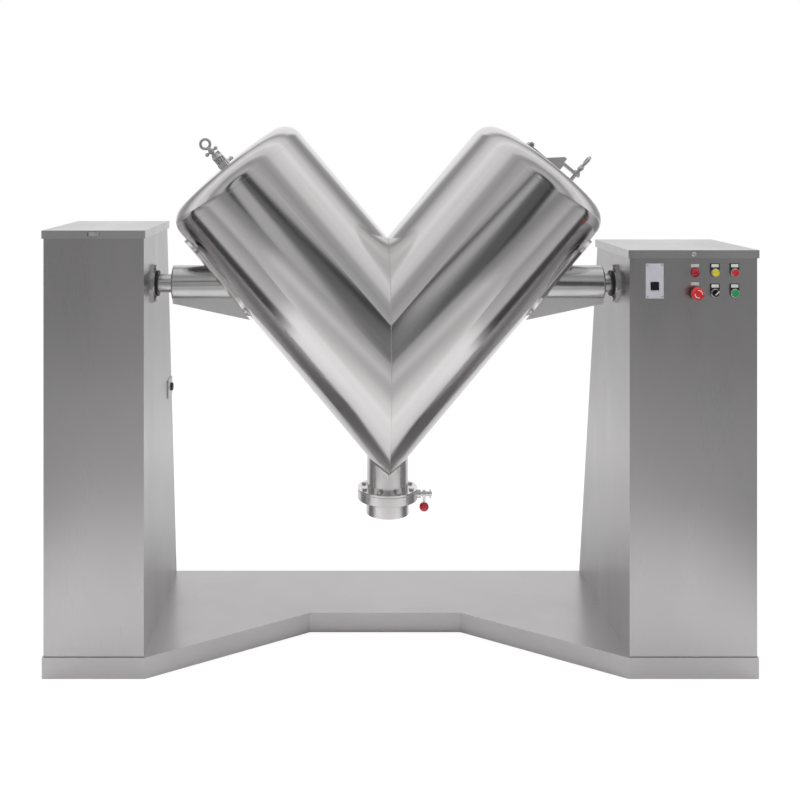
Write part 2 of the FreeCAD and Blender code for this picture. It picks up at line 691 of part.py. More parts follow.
def bearings():
    inserts = []
    plates = []
    bolts = []
    for side in ("left", "right"):
        face = side + "_inner"
        inserts.append(trunnion(side, face + " - barrel_length", "bearing_radius - fit_gap",
                                "shaft_radius + fit_gap", "barrel_length - 0.3"))
        sign, turn = side_sign(side)
        start = "-left_inner - sheet_wall - weld_gap - backing_plate"
        if side == "right":
            start = "right_inner + sheet_wall + weld_gap"
        slab = block((start, SHAFT_Y + " - backing_depth / 2", "shaft_height - backing_side / 2"),
                     ("backing_plate", "backing_depth", "backing_side"))
        holes = [rod(("%s(%s)" % (sign, face), SHAFT_Y, "shaft_height"), "shaft_hole", "50", turn)]
        for way in "+-":
            spot = ("%s(%s)" % (sign, face), SHAFT_Y, "shaft_height %s bearing_bolt_half" % way)
            holes.append(rod(spot, "bearing_bolt_radius + bolt_gap", "50", turn))
        plates.append(cut(slab, *holes))
        for way in "+-":
            spot = (SHAFT_Y, "shaft_height %s bearing_bolt_half" % way)
            shank = rod(("%s(%s - flange_plate - 0.3)" % (sign, face),) + spot, "bearing_bolt_radius",
                        "flange_plate + sheet_wall + backing_plate + 14", turn)
            head = body(("%s(%s - flange_plate - 0.3)" % (sign, face),) + spot, turn)
            pad(head, hexagon(sketch(head, "XY_Plane"), "8"), "5.5", backwards=True)
            nut = body(("%s(%s + sheet_wall + backing_plate + 0.5)" % (sign, face),) + spot, turn)
            pad(nut, hexagon(sketch(nut, "XY_Plane"), "8"), "8")
            bolts.append(fuse(shank, head, nut))
    node("bearing_inserts", group(*inserts))
    node("backing_plates", group(*plates))
    node("bearing_bolts", group(*bolts))


def hexagon(piece, flat):
    """A hexagon whose flats lie this far from its middle."""
    reach = "(%s) / cos(30)" % flat
    return outline(piece, [("%s * cos(%d)" % (reach, turn), "%s * sin(%d)" % (reach, turn))
                           for turn in range(0, 360, 60)])


# Vessel. s runs along an arm's axis from where the axes meet, t across it towards the outside of the V.

def arm_spot(s_text, t_text):
    return ("(%s) * sin(half_angle) + (%s) * cos(half_angle)" % (s_text, t_text),
            "(%s) * cos(half_angle) - (%s) * sin(half_angle)" % (s_text, t_text))


def vessel_arm(side):
    """One arm with its dished head, cut on the mitre. The left arm is the right one turned half round."""
    turn = UPRIGHT if side == "right" else Rotation(Vector(0, 0, 1), 180)
    piece = body(("0", SHAFT_Y, MEET_Z), turn)
    lean = "asin((drum_radius - knuckle) / (crown - knuckle))"
    wall = []
    for depth, turn in (("0", -1), ("drum_wall", 1)):
        radius = "(drum_radius - %s)" % depth
        ball_radius = "(crown - %s)" % depth
        centre = "(arm_length - %s)" % CROWN_DROP
        edge = "(port_radius + weld_gap)"
        line = [
            arm_spot("-drum_radius * 1.4", radius),
            arm_spot("arm_length", radius),
            arm_spot("%s + %s * cos(%s)" % (centre, ball_radius, lean), "%s * sin(%s)" % (ball_radius, lean)),
            arm_spot("%s + sqrt(%s^2 - %s^2)" % (centre, ball_radius, edge), edge),
        ]
        arcs = ["(knuckle - %s)" % depth, ball_radius]
        wall.append((line, arcs))
    (outer, outer_arcs), (inner, inner_arcs) = wall
    corners = [
        outer[0],
        outer[1] + (outer_arcs[0], 1),
        outer[2] + (outer_arcs[1], 1),
        outer[3],
        inner[3] + (inner_arcs[1], -1),
        inner[2] + (inner_arcs[0], -1),
        inner[1],
        inner[0],
    ]
    profile = outline(sketch(piece, "XZ_Plane"), corners)
    axis_end = arm_spot("arm_length", "0")
    tip = Vector(size(axis_end[0]), size(axis_end[1]), 0)
    axis = profile.addGeometry(Part.LineSegment(Vector(0, 0, 0), tip), True)
    pin_point(profile, axis, 1, ("0", "0"))
    pin_point(profile, axis, 2, axis_end)
    revolve(piece, profile, "Axis0")
    half = outline(sketch(piece, "XZ_Plane"), corners_of("-" + FAR, "weld_gap / 2", "-" + FAR, FAR))
    pocket(piece, half, both_ways=True)
    pocket(piece, circle(sketch(piece, "XY_Plane"), ("0", "0"), "neck_radius - neck_wall"))
    node(side + "_vessel_arm", piece)


def mitred_solid(radius):
    """Two solid arms of this radius, mitred, for cutting what is welded to the vessel."""
    halves = []
    for sign in (1, -1):
        turn = Rotation(Vector(0, 1, 0), sign * size("half_angle"))
        start = arm_place("right" if sign > 0 else "left", "-arm_length")
        arm = rod(start, radius, "2 * arm_length", turn)
        room = block(("0" if sign > 0 else "-2000", SHAFT_Y + " - 1000", "0"), ("2000", "2000", "3000"))
        halves.append(common(arm, room))
    return fuse(*halves)


def arm_turn(side):
    return Rotation(Vector(0, 1, 0), size("half_angle") * (1 if side == "right" else -1))


def arm_place(side, along):
    """A spot on an arm's axis, this far from where the axes meet."""
    sign = "" if side == "right" else "-"
    height = "%s + (%s) * cos(half_angle)" % (MEET_Z, along)
    return ("%s(%s) * sin(half_angle)" % (sign, along), SHAFT_Y, height)


def pad_plate(side):
    piece = body(arm_place(side, "pad_start"), arm_turn(side))
    pad(piece, circle(sketch(piece, "XY_Plane"), ("0", "0"), "drum_radius + weld_gap + pad_plate"),
        "pad_end - pad_start")
    pocket(piece, circle(sketch(piece, "XY_Plane"), ("0", "0"), "drum_radius + weld_gap"), backwards=True)
    room = body(arm_place(side, "pad_start"), arm_turn(side))
    corner = "pad_corner"
    rim = [
        ("-pad_half", corner),
        ("-pad_half + " + corner, "0"),
        ("pad_half - " + corner, "0"),
        ("pad_half", corner),
        ("pad_half", "pad_end - pad_start - " + corner),
        ("pad_half - " + corner, "pad_end - pad_start"),
        ("-pad_half + " + corner, "pad_end - pad_start"),
        ("-pad_half", "pad_end - pad_start - " + corner),
    ]
    arcs = (0, 2, 4, 6)
    rim = [spot + (corner, 1) if number in arcs else spot for number, spot in enumerate(rim)]
    pad(room, outline(sketch(room, "YZ_Plane"), rim), "drum_radius + 100", backwards=side == "left")
    node(side + "_pad_plate", common(piece, room))


def hub(side, envelope):
    sign, turn = side_sign(side)
    inner = "drum_radius"
    piece = body(("%s(%s)" % (sign, inner), SHAFT_Y, "shaft_height"), turn)
    pad(piece, circle(sketch(piece, "XY_Plane"), ("0", "0"), "hub_radius"), "hub_reach - " + inner)
    fillet(piece, "hub_edge", lambda edge: edge.Curve.TypeId == "Part::GeomCircle"
           and abs(abs(edge.CenterOfMass.z) - (size("hub_reach") - size(inner))) < 0.01)
    bore_start = ("%s(shaft_root - fit_gap)" % sign, SHAFT_Y, "shaft_height")
    bore = rod(bore_start, "shaft_radius + fit_gap", "500", turn)
    node(side + "_hub", cut(piece, envelope, bore))


def hub_gussets(envelope):
    plates = []
    for side in ("left", "right"):
        sign, turn = side_sign(side)
        for way in "+-":
            spot = "(%s %s gusset_spread)" % (SHAFT_Y, way)
            piece = body(("0", spot, "shaft_height"))
            corners = [
                ("%s(hub_reach - 4)" % sign, "-hub_radius * 0.5"),
                ("%s(gusset_tip_x)" % sign, "-hub_radius * 0.5"),
                ("%s(gusset_tip_x - 40)" % sign, "-gusset_tip_drop"),
                ("%s(gusset_tip_x)" % sign, "-gusset_tip_drop"),
                ("%s(hub_reach - 4)" % sign, "-hub_radius - 2"),
            ]
            pad(piece, outline(sketch(piece, "XZ_Plane"), corners), "gusset_plate", both_ways=True)
            hub_start = ("%s(drum_radius)" % sign, SHAFT_Y, "shaft_height")
            around_hub = rod(hub_start, "hub_radius + weld_gap", "500", turn)
            plates.append(cut(piece, envelope, around_hub))
    node("hub_gussets", group(*plates))


def trunnion_shafts():
    collars = []
    for side in ("left", "right"):
        sign, turn = side_sign(side)
        start = ("%s(shaft_root)" % sign, SHAFT_Y, "shaft_height")
        length = "%s_inner + sheet_wall + backing_plate + %s_shaft_tail - shaft_root" % (side, side)
        piece = body(start, turn)
        profile = [("0", "0"), ("shaft_radius", "0"), ("shaft_radius", length + " - 3"),
                   ("shaft_radius - 3", length), ("0", length)]
        revolve(piece, outline(sketch(piece, "XZ_Plane"), profile))
        node(side + "_trunnion_shaft", piece)
        near = side + "_inner - barrel_length - collar_gap - collar_width"
        collars.append(trunnion(side, near, "collar_radius", "shaft_radius + fit_gap", "collar_width"))
    node("shaft_collars", group(*collars))


# Charging ports. They are drawn with z along the arm's axis from the crown, x across and y to the back.

def port_frame(side):
    return arm_place(side, APEX), arm_turn(side).multiply(lid_turn(side))


def lid_turn(side):
    """The left lid is clamped at the front, the right one at its outer side."""
    return Rotation(Vector(0, 0, 1), 90 if side == "right" else 0)


def port_ring(side):
    spot, turn = port_frame(side)
    ring = body(spot, turn)
    revolve(ring, outline(sketch(ring, "XZ_Plane"), [
        ("port_opening", "-port_depth"), ("port_radius", "-port_depth"), ("port_radius", "-port_rim"),
        ("lid_radius + lid_gap", "-port_rim"), ("lid_radius + lid_gap", "-seat_drop"),
        ("port_opening", "-seat_drop")]))
    inner_edge = "(lid_radius + lid_gap + 3)"
    lug_top = "(strap_low - 1)"
    wide = "(strap_width / 2 + 10)"
    back_lug = sketch(ring, "XY_Plane", "-12")
    outline(back_lug, corners_of("-" + wide, wide, inner_edge, "lid_hinge_reach + 12"))
    pad(ring, back_lug, lug_top + " + 12")
    front_lug = sketch(ring, "XY_Plane", "-12")
    outline(front_lug, corners_of(
        "-strap_width / 2", "strap_width / 2", "-screw_reach - 14", "-" + inner_edge))
    pad(ring, front_lug, "screw_boss + 12")
    for way in ("", "-"):
        side_x = "(%s(strap_width / 2 + 6))" % way
        ear = sketch(ring, "YZ_Plane", side_x)
        outline(ear, [("lid_hinge_reach - 11", lug_top + " - 1"), ("lid_hinge_reach + 11", lug_top + " - 1"),
                      ("lid_hinge_reach + 9", "lid_hinge_rise", "half", 1),
                      ("lid_hinge_reach - 9", "lid_hinge_rise")])
        pad(ring, ear, "8", both_ways=True)
    head = common(ball(arm_place(side, APEX + " - crown"), "crown + weld_gap"),
                  tube(arm_place(side, APEX + " - 40"), "port_radius + 60", "port_radius", "60", turn))
    bore = rod(spot, "lid_pin_radius + fit_gap", "100", turn.multiply(ALONG_X))
    place_in_arm(bore, side, ("-50", "lid_hinge_reach", "lid_hinge_rise"), ALONG_X)
    screw_hole = rod(spot, "screw_radius + 1", "60")
    place_in_arm(screw_hole, side, ("0", "-screw_reach", "-30"))
    node(side + "_port_ring", cut(ring, head, bore, screw_hole))


def place_in_arm(thing, side, spot, turn=UPRIGHT):
    """Places a piece at (x, y, z) of its port's frame."""
    sign = "" if side == "right" else "-"
    x_text, y_text, z_text = spot
    if side == "right":
        x_text, y_text = "-(%s)" % y_text, x_text
    along = "(%s + (%s))" % (APEX, z_text)
    across = "(%s)" % x_text
    place(thing, ("%s(%s * sin(half_angle)) + %s * cos(half_angle)" % (sign, along, across),
                  "%s + (%s)" % (SHAFT_Y, y_text),
                  "%s + %s * cos(half_angle) - (%s%s) * sin(half_angle)" % (MEET_Z, along, sign, across)),
          arm_turn(side).multiply(lid_turn(side)).multiply(turn))
    return thing


def charging_lid(side):
    spot, turn = port_frame(side)
    lid = body(spot, turn)
    under = "(-seat_drop + gasket_plate + weld_gap)"
    revolve(lid, outline(sketch(lid, "XZ_Plane"), [
        ("0", under), ("lid_radius", under),
        ("lid_radius", "-crown + sqrt(crown^2 - lid_radius^2)", "crown", 1),
        ("0", "0")]))
    half = "(strap_width / 2)"
    strap = sketch(lid, "YZ_Plane")
    under_yoke = "(yoke_height - strap_plate)"
    outline(strap, [
        ("lid_hinge_reach", "strap_low"), ("lid_hinge_reach", "strap_low + strap_plate"),
        ("24", "strap_low + strap_plate"), ("-20", "handle_height"), ("-29", "handle_height"),
        ("-29", "yoke_height"),
        ("-screw_reach + 20", "yoke_height"), ("-screw_reach + 20", under_yoke), ("-34", under_yoke),
        ("-34", "strap_low")])
    pad(lid, strap, "strap_width", both_ways=True)
    tongue = sketch(lid, "XY_Plane", under_yoke)
    outline(tongue, [("-" + half, "-screw_reach", "half", 1), (half, "-screw_reach"),
                     (half, "-screw_reach + 21"), ("-" + half, "-screw_reach + 21")])
    pad(lid, tongue, "strap_plate")
    bridge = sketch(lid, "XY_Plane", "-6")
    outline(bridge, corners_of("-" + half, half, "-34", "port_opening - 8"))
    pad(lid, bridge, "6 + strap_low + strap_plate")
    knuckle = sketch(lid, "YZ_Plane")
    circle(knuckle, ("lid_hinge_reach", "lid_hinge_rise"), "lid_knuckle")
    pad(lid, knuckle, "strap_width", both_ways=True)
    pin_spot = ("lid_hinge_reach", "lid_hinge_rise")
    pin_hole = circle(sketch(lid, "YZ_Plane"), pin_spot, "lid_pin_radius + fit_gap")
    pocket(lid, pin_hole, both_ways=True)
    for way in ("", "-"):
        post_spot = (way + "yoke_half", "-screw_reach")
        post = circle(sketch(lid, "XY_Plane", "screw_boss + 1.5"), post_spot, "yoke_post")
        pad(lid, post, "yoke_height - screw_boss - 3")
    hole = circle(sketch(lid, "XY_Plane", "yoke_height + 5"), ("0", "-screw_reach"), "screw_radius + fit_gap")
    pocket(lid, hole, "yoke_height + 4")
    node(side + "_lid", lid)
    gasket = body(spot, turn)
    revolve(gasket, outline(sketch(gasket, "XZ_Plane"), corners_of(
        "port_opening + 0.5", "lid_radius - 0.3", "-seat_drop + 0.05", "-seat_drop + gasket_plate")))
    return gasket


def eye_screw(side):
    """A clamp screw: shank, shoulder, cross bar with ball ends, and a ring to pull on."""
    spot, turn = port_frame(side)
    shank = body(spot, turn)
    place_in_arm(shank, side, ("0", "-screw_reach", "0"))
    revolve(shank, outline(sketch(shank, "XZ_Plane"), [
        ("0", "0.5"), ("screw_radius - 1", "0.5"), ("screw_radius", "1.5"),
        ("screw_radius", "yoke_height + 0.3"), ("11", "yoke_height + 0.3"), ("11", "yoke_height + 4"),
        ("screw_radius", "yoke_height + 9"), ("screw_radius", "bar_rise - 8"), ("8", "bar_rise - 6"),
        ("8", "bar_rise + 6"), ("5", "ring_rise - ring_radius"), ("0", "ring_rise - ring_radius")]))
    bar = rod(spot, "bar_radius", "2 * bar_half")
    place_in_arm(bar, side, ("-bar_half", "-screw_reach", "bar_rise"), ALONG_X)
    ends = []
    for way in ("", "-"):
        end = ball(spot, "bar_radius * 1.8")
        ends.append(place_in_arm(end, side, (way + "bar_half", "-screw_reach", "bar_rise")))
    ring = doc.addObject("Part::Torus", "ring")
    bind(ring, "Radius1", "ring_radius")
    bind(ring, "Radius2", "ring_wire")
    place_in_arm(ring, side, ("0", "-screw_reach", "ring_rise"), ALONG_Y)
    node(side + "_eye_screw", fuse(shank, bar, ring, *ends))


def lid_hinge_pins():
    pins = []
    for side in ("left", "right"):
        pin = rod(("0", "0", "0"), "lid_pin_radius", "strap_width + 26")
        pin_start = ("-strap_width / 2 - 13", "lid_hinge_reach", "lid_hinge_rise")
        pins.append(place_in_arm(pin, side, pin_start, ALONG_X))
    node("lid_hinge_pins", group(*pins))


# Outlet and butterfly valve

def outlet(envelope):
    spot = ("0", SHAFT_Y, OUTLET_Z)
    neck = body(spot)
    bore = "neck_radius - neck_wall"
    revolve(neck, outline(sketch(neck, "XZ_Plane"), [
        (bore, "-valve_flange"), ("valve_radius", "-valve_flange"), ("valve_radius", "0"),
        ("neck_radius", "0"), ("neck_radius", "neck_length"), (bore, "neck_length")]))
    bolt_holes(neck, "-valve_flange - 1", "valve_flange + 2")
    node("discharge_neck", cut(neck, envelope))
    gasket = body(("0", SHAFT_Y, OUTLET_Z + " - valve_flange - valve_gasket"))
    revolve(gasket, outline(sketch(gasket, "XZ_Plane"), corners_of(
        bore, "valve_radius - 1.5", "0", "valve_gasket")))
    bolt_holes(gasket, "-1", "valve_gasket + 2")
    node("flange_gasket", gasket)
    valve = body(("0", SHAFT_Y, STEM_Z))
    half = "(valve_height / 2)"
    revolve(valve, outline(sketch(valve, "XZ_Plane"), [
        ("neck_radius", "-" + half), ("spigot_bore", "-" + half),
        ("spigot_bore", "-%s - spigot_length" % half),
        ("spigot_radius", "-%s - spigot_length" % half), ("spigot_radius", "-%s - 0.01" % half),
        ("valve_radius - 2", "-%s - 0.01" % half), ("valve_radius", "-%s + 2" % half), ("valve_radius", half),
        ("neck_radius", half)]))
    boss = circle(sketch(valve, "YZ_Plane", "valve_radius - 6"), ("0", "0"), "boss_radius")
    pad(valve, boss, "boss_reach - valve_radius + 6")
    stem_hole = circle(sketch(valve, "YZ_Plane", "-neck_radius - 18"), ("0", "0"), "stem_radius + fit_gap")
    pocket(valve, stem_hole, backwards=True)
    bolt_holes(valve, half + " - 15", "16")
    node("valve_body", valve)
    seat_start = ("0", SHAFT_Y, STEM_Z + " - %s + 0.3" % half)
    seat = tube(seat_start, "neck_radius - 0.05", bore, "valve_height - 0.3")
    stem_way = rod(("-100", SHAFT_Y, STEM_Z), "stem_radius + fit_gap", "200", ALONG_X)
    node("valve_seat", cut(seat, stem_way))


def bolt_holes(owner, low, length):
    hole = circle(sketch(owner, "XY_Plane", low), ("bolt_circle * cos(22.5)", "bolt_circle * sin(22.5)"),
                  "flange_bolt_radius + bolt_gap")
    around(owner, [pocket(owner, hole, length, backwards=True)], "Z_Axis", 8)


def flange_bolts():
    bolts = []
    for number in range(8):
        angle = 22.5 + 45 * number
        spot = ("bolt_circle * cos(%g)" % angle, "%s + bolt_circle * sin(%g)" % (SHAFT_Y, angle),
                OUTLET_Z + " + 0.2")
        head = body(spot)
        pad(head, hexagon(sketch(head, "XY_Plane"), "6.5"), "5.5")
        shank = circle(sketch(head, "XY_Plane"), ("0", "0"), "flange_bolt_radius")
        pad(head, shank, "valve_flange + valve_gasket + 12", backwards=True)
        bolts.append(head)
    node("flange_bolts", group(*bolts))


def butterfly():
    centre = ("0", SHAFT_Y, STEM_Z)
    disc = body(centre)
    rim = "(neck_radius - neck_wall - disc_gap)"
    revolve(disc, outline(sketch(disc, "XZ_Plane"), [
        ("0", "-disc_middle / 2"), (rim + " * 0.35", "-disc_middle / 2"), (rim, "-disc_rim / 2"),
        (rim, "disc_rim / 2"), (rim + " * 0.35", "disc_middle / 2"), ("0", "disc_middle / 2")]))
    sleeve = circle(sketch(disc, "YZ_Plane"), ("0", "0"), "stem_radius + 4")
    pad(disc, sleeve, "2 * %s * 0.86" % rim, both_ways=True)
    pocket(disc, circle(sketch(disc, "YZ_Plane"), ("0", "0"), "stem_radius + fit_gap"), both_ways=True)
    node("valve_disc", disc)
    start = "-neck_radius - 17"
    stem = rod((start, SHAFT_Y, STEM_Z), "stem_radius", "stem_reach + neck_radius + 17", ALONG_X)
    wing = block(("stem_reach - 8", SHAFT_Y + " - 3", STEM_Z + " - 14"), ("5", "6", "28"))
    node("valve_stem", fuse(stem, wing))
    lever = body(("lever_place", SHAFT_Y, STEM_Z))
    plate = sketch(lever, "YZ_Plane", "-lever_plate / 2")
    foot = "-lever_length + ball_radius + 4"
    outline(plate, [("12", "0", "half", 1), ("-12", "0"), ("-5", foot), ("5", foot)])
    pad(lever, plate, "lever_plate")
    neck = circle(sketch(lever, "XY_Plane", "-lever_length + 2"), ("0", "0"), "4")
    pad(lever, neck, "lever_length - 14")
    pocket(lever, circle(sketch(lever, "YZ_Plane"), ("0", "0"), "stem_radius + fit_gap"), both_ways=True)
    node("valve_lever", lever)
    knob = ball(("lever_place", SHAFT_Y, STEM_Z + " - lever_length"), "ball_radius")
    socket = rod(("lever_place", SHAFT_Y, STEM_Z + " - lever_length + 1.5"), "4 + fit_gap", "40")
    node("lever_knob", cut(knob, socket))


# Controls on the right column's front. z of each piece runs out of the panel.

def on_panel(number, lift="0"):
    across, height = control_spot(number)
    return ("right_inner + " + across, "%s - (%s)" % (FRONT, lift), height), ALONG_MINUS_Y


LAMP, YELLOW, RED, ESTOP, SELECTOR, GREEN = range(6)
HELD = (YELLOW, RED, SELECTOR, GREEN)


def legend_holders():
    plates = []
    for number in HELD:
        spot, turn = on_panel(number, "0.2")
        piece = body(spot, turn)
        rim = [("-holder_half", "0", "half", 1), ("holder_half", "0"),
               ("holder_half", "holder_rise"), ("-holder_half", "holder_rise")]
        pad(piece, outline(sketch(piece, "XY_Plane"), rim), "holder_plate")
        pocket(piece, circle(sketch(piece, "XY_Plane"), ("0", "0"), "switch_hole"), backwards=True)
        plates.append(piece)
    node("legend_holders", group(*plates))


def control_bezels():
    rings = []
    for number in HELD:
        spot, turn = on_panel(number, "0.4 + holder_plate")
        piece = body(spot, turn)
        bore = "(button_radius + 0.3)"
        revolve(piece, outline(sketch(piece, "XZ_Plane"), [
            (bore, "0"), ("bezel_radius", "0"), ("bezel_radius", "bezel_height - 3"),
            ("bezel_radius - 1.5", "bezel_height"), (bore, "bezel_height")]))
        rings.append(piece)
    node("control_bezels", group(*rings))


def buttons():
    for label, number in (("yellow_button", YELLOW), ("red_button", RED), ("green_button", GREEN)):
        spot, turn = on_panel(number, "holder_plate")
        piece = body(spot, turn)
        top = "(button_height + 1)"
        revolve(piece, outline(sketch(piece, "XZ_Plane"), [
            ("0", "-9"), ("6", "-9"), ("6", "-1"), ("button_radius", "-1"), ("button_radius", top + " - 1.5"),
            ("button_radius - 1.5", top), ("button_radius - 3", top), ("0", top + " - 1", "34", -1)][:-1]
            + [("0", top + " - 1")]))
        node(label, piece)


def lamp_and_stop():
    spot, turn = on_panel(LAMP, "0.2")
    lamp = body(spot, turn)
    revolve(lamp, outline(sketch(lamp, "XZ_Plane"), [
        ("0", "-sheet_wall"), ("switch_hole - 0.5", "-sheet_wall"), ("switch_hole - 0.5", "0"),
        ("lamp_radius + 1.5", "0"), ("lamp_radius + 1.5", "2.5"), ("lamp_radius", "2.5"),
        ("lamp_radius", "7", "16", 1), ("2", "13"), ("0", "13")]))
    node("indicator_lamp", lamp)
    spot, turn = on_panel(ESTOP, "0.2")
    collar = body(spot, turn)
    revolve(collar, outline(sketch(collar, "XZ_Plane"), [
        ("9", "0"), ("estop_radius - 2", "0"), ("estop_radius - 5", "12"), ("9", "12")]))
    node("estop_collar", collar)
    head = body(spot, turn)
    revolve(head, outline(sketch(head, "XZ_Plane"), [
        ("0", "-10"), ("8.7", "-10"), ("8.7", "19"), ("estop_radius - 2", "19"), ("estop_radius", "21"),
        ("estop_radius", "25", "9", 1), ("estop_radius - 7", "33"), ("0", "35")]))
    node("estop_head", head)


def selector():
    spot, turn = on_panel(SELECTOR, "holder_plate")
    knob = body(spot, turn)
    revolve(knob, outline(sketch(knob, "XZ_Plane"), [
        ("0", "-9"), ("6", "-9"), ("6", "-1"), ("button_radius", "-1"),
        ("button_radius", "bezel_height + 1.5"),
        ("0", "bezel_height + 1.5")]))
    handle = sketch(knob, "XY_Plane", "bezel_height + 0.8")
    lean = 45
    corners = []
    for u, v in (("(-10)", "(-3.6)"), ("9", "(-3.6)"), ("12.5", "0"), ("9", "3.6"), ("(-10)", "3.6")):
        across = "%s * cos(%d) - %s * sin(%d)" % (u, lean, v, lean)
        up = "%s * sin(%d) + %s * cos(%d)" % (u, lean, v, lean)
        corners.append((across, up))
    outline(handle, corners)
    pad(knob, handle, "10")
    node("selector_knob", knob)


def contact_blocks():
    blocks = []
    for number in range(6):
        across, height = control_spot(number)
        corner = ("right_inner + %s - 15" % across, FRONT + " + 22", height + " - 22")
        blocks.append(block(corner, ("30", "26", "44")))
        stem_hole = "switch_hole - 1.5"
        neck = tube(("right_inner + " + across, FRONT + " + 22.2", height), "switch_hole + 3", stem_hole,
                    "22.2 - sheet_wall - 0.3", ALONG_MINUS_Y)
        blocks[-1] = fuse(blocks[-1], neck)
    node("contact_blocks", group(*blocks))


def instrument_plate():
    low = "right_inner + plate_start"
    top = "right_top - plate_drop"
    plate = block((low, FRONT + " - plate_sheet - 0.2", top + " - plate_height"),
                  ("plate_width", "plate_sheet", "plate_height"))
    window_low = low + " + plate_width / 2 - window_side / 2"
    window_base = top + " - window_drop - window_side / 2"
    hole = block((window_low + " - 0.3", FRONT + " - 20", window_base + " - 0.3"),
                 ("window_side + 0.6", "40", "window_side + 0.6"))
    node("instrument_plate", cut(plate, hole))
    window = block((window_low, FRONT + " - plate_sheet - 2", window_base),
                   ("window_side", "plate_sheet + 40", "window_side"))
    node("timer_window", window)


# Drive inside the right column

REDUCER_NEAR = "(right_inner + sheet_wall + backing_plate + reducer_start)"


def gear_reducer():
    case = body((REDUCER_NEAR, SHAFT_Y, "shaft_height"))
    low = "-reducer_height * 0.5 - 15"
    side_view = corners_of("-reducer_depth / 2", "reducer_depth / 2", low, low + " + reducer_height")
    pad(case, outline(sketch(case, "YZ_Plane"), side_view), "reducer_width")
    fillet(case, "28", runs_along_x)
    face = circle(sketch(case, "YZ_Plane", "-8"), ("0", "0"), "bearing_bolt_half - 12")
    pad(case, face, "reducer_width + 16")
    hollow = circle(sketch(case, "YZ_Plane", "-20"), ("0", "0"), "shaft_radius + fit_gap")
    pocket(case, hollow, backwards=True)
    neck = circle(sketch(case, "XY_Plane", low), ("reducer_width / 2", "0"), "motor_radius - 12")
    pad(case, neck, "24", backwards=True)
    node("gear_reducer", case)


def runs_along_x(edge):
    return len(edge.Vertexes) == 2 and abs(edge.tangentAt(edge.FirstParameter).x) > 0.99


def drive_motor():
    motor_top = "shaft_height - reducer_height * 0.5 - 15 - 24 - 0.2"
    motor = body((REDUCER_NEAR + " + reducer_width / 2", SHAFT_Y, motor_top))
    core = "(motor_radius - fin_height)"
    revolve(motor, outline(sketch(motor, "XZ_Plane"), [
        ("0", "0"), ("motor_radius", "0"), ("motor_radius", "-12"), (core, "-18"),
        (core, "-motor_length"),
        ("motor_radius + 1", "-motor_length"), ("motor_radius + 1", "-motor_length - 50", "14", -1),
        ("motor_radius - 13", "-motor_length - 64"), ("0", "-motor_length - 64")]))
    fin = sketch(motor, "XY_Plane", "-motor_length")
    outline(fin, corners_of(core + " - 3", "motor_radius", "-fin_plate / 2", "fin_plate / 2"))
    around(motor, [pad(motor, fin, "motor_length - 14")], "Z_Axis", 24)
    terminal = sketch(motor, "YZ_Plane", "-35")
    outline(terminal, corners_of(core + " - 5", "motor_radius + 34", "-110", "-20"))
    pad(motor, terminal, "70")
    node("drive_motor", motor)


def torque_arm():
    arm_corner = ("right_inner + sheet_wall + backing_plate + 2 * weld_gap",
                  SHAFT_Y + " + reducer_depth / 2 + weld_gap", "shaft_height - reducer_height / 2 + 10")
    arm = block(arm_corner, ("reducer_start + reducer_width * 0.7", "10", "60"))
    foot_corner = ("right_inner + sheet_wall + weld_gap", SHAFT_Y + " + backing_depth / 2 + 0.5",
                   "shaft_height - reducer_height / 2 - 30")
    foot = block(foot_corner, ("backing_plate + 2", "65", "140"))
    node("torque_arm", fuse(arm, foot))


def cable_gland():
    spot = ("right_inner + right_width / 2", "base_depth / 2 + 0.2", "plinth_height / 2")
    gland = body(spot, ALONG_Y)
    pad(gland, hexagon(sketch(gland, "XY_Plane"), "gland_radius + 2"), "6")
    revolve(gland, outline(sketch(gland, "XZ_Plane"), [
        ("0", "5"), ("gland_radius", "5"), ("gland_radius", "13", "6", 1), ("gland_radius - 4", "18"),
        ("0", "18")]))
    pocket(gland, circle(sketch(gland, "XY_Plane", "30"), ("0", "0"), "5"))
    node("cable_gland", gland)


def build():
    base_plinth()
    hinges = []
    for side in ("left", "right"):
        column_shell(side)
        column_cap(side)
        hinges.append(back_door(side))
        bearing_housing(side)
    node("door_hinges", group(*hinges))
    cap_fasteners()
    door_lock()
    bearings()
    for side in ("left", "right"):
        vessel_arm(side)
    envelope = mitred_solid("drum_radius + weld_gap")
    padded = mitred_solid("drum_radius + pad_plate + 2 * weld_gap")
    gaskets = []
    for side in ("left", "right"):
        pad_plate(side)
        hub(side, padded)
        port_ring(side)
        gaskets.append(charging_lid(side))
        eye_screw(side)
    node("lid_gaskets", group(*gaskets))
    hub_gussets(padded)
    trunnion_shafts()
    lid_hinge_pins()
    outlet(envelope)
    flange_bolts()
    butterfly()
    legend_holders()
    control_bezels()
    buttons()
    lamp_and_stop()
    selector()
    contact_blocks()
    instrument_plate()
    gear_reducer()
    drive_motor()
    torque_arm()
    cable_gland()


def check():
    faults = []
    for thing in doc.Objects:
        if "Invalid" in thing.State or "Error" in thing.State:
            users = ", ".join(user.Label for user in thing.InList)
            faults.append("%s (used by %s) did not build: %s" % (thing.Label, users, thing.State))
    for label, thing in NODES.items():
        if thing.Shape.isNull() or not thing.Shape.isValid() or not thing.Shape.Solids:
            faults.append("%s has no valid solid" % label)
    if faults:
        raise RuntimeError("\n".join(faults))


build()
doc.recompute()
check()
os.makedirs("parts", exist_ok=True)
for label, thing in NODES.items():
    thing.Shape.exportStep("parts/%s.step" % label)
    print(label, len(thing.Shape.Solids), round(thing.Shape.Volume / 1000, 1))
print(len(NODES), "sub-parts")
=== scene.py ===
import math

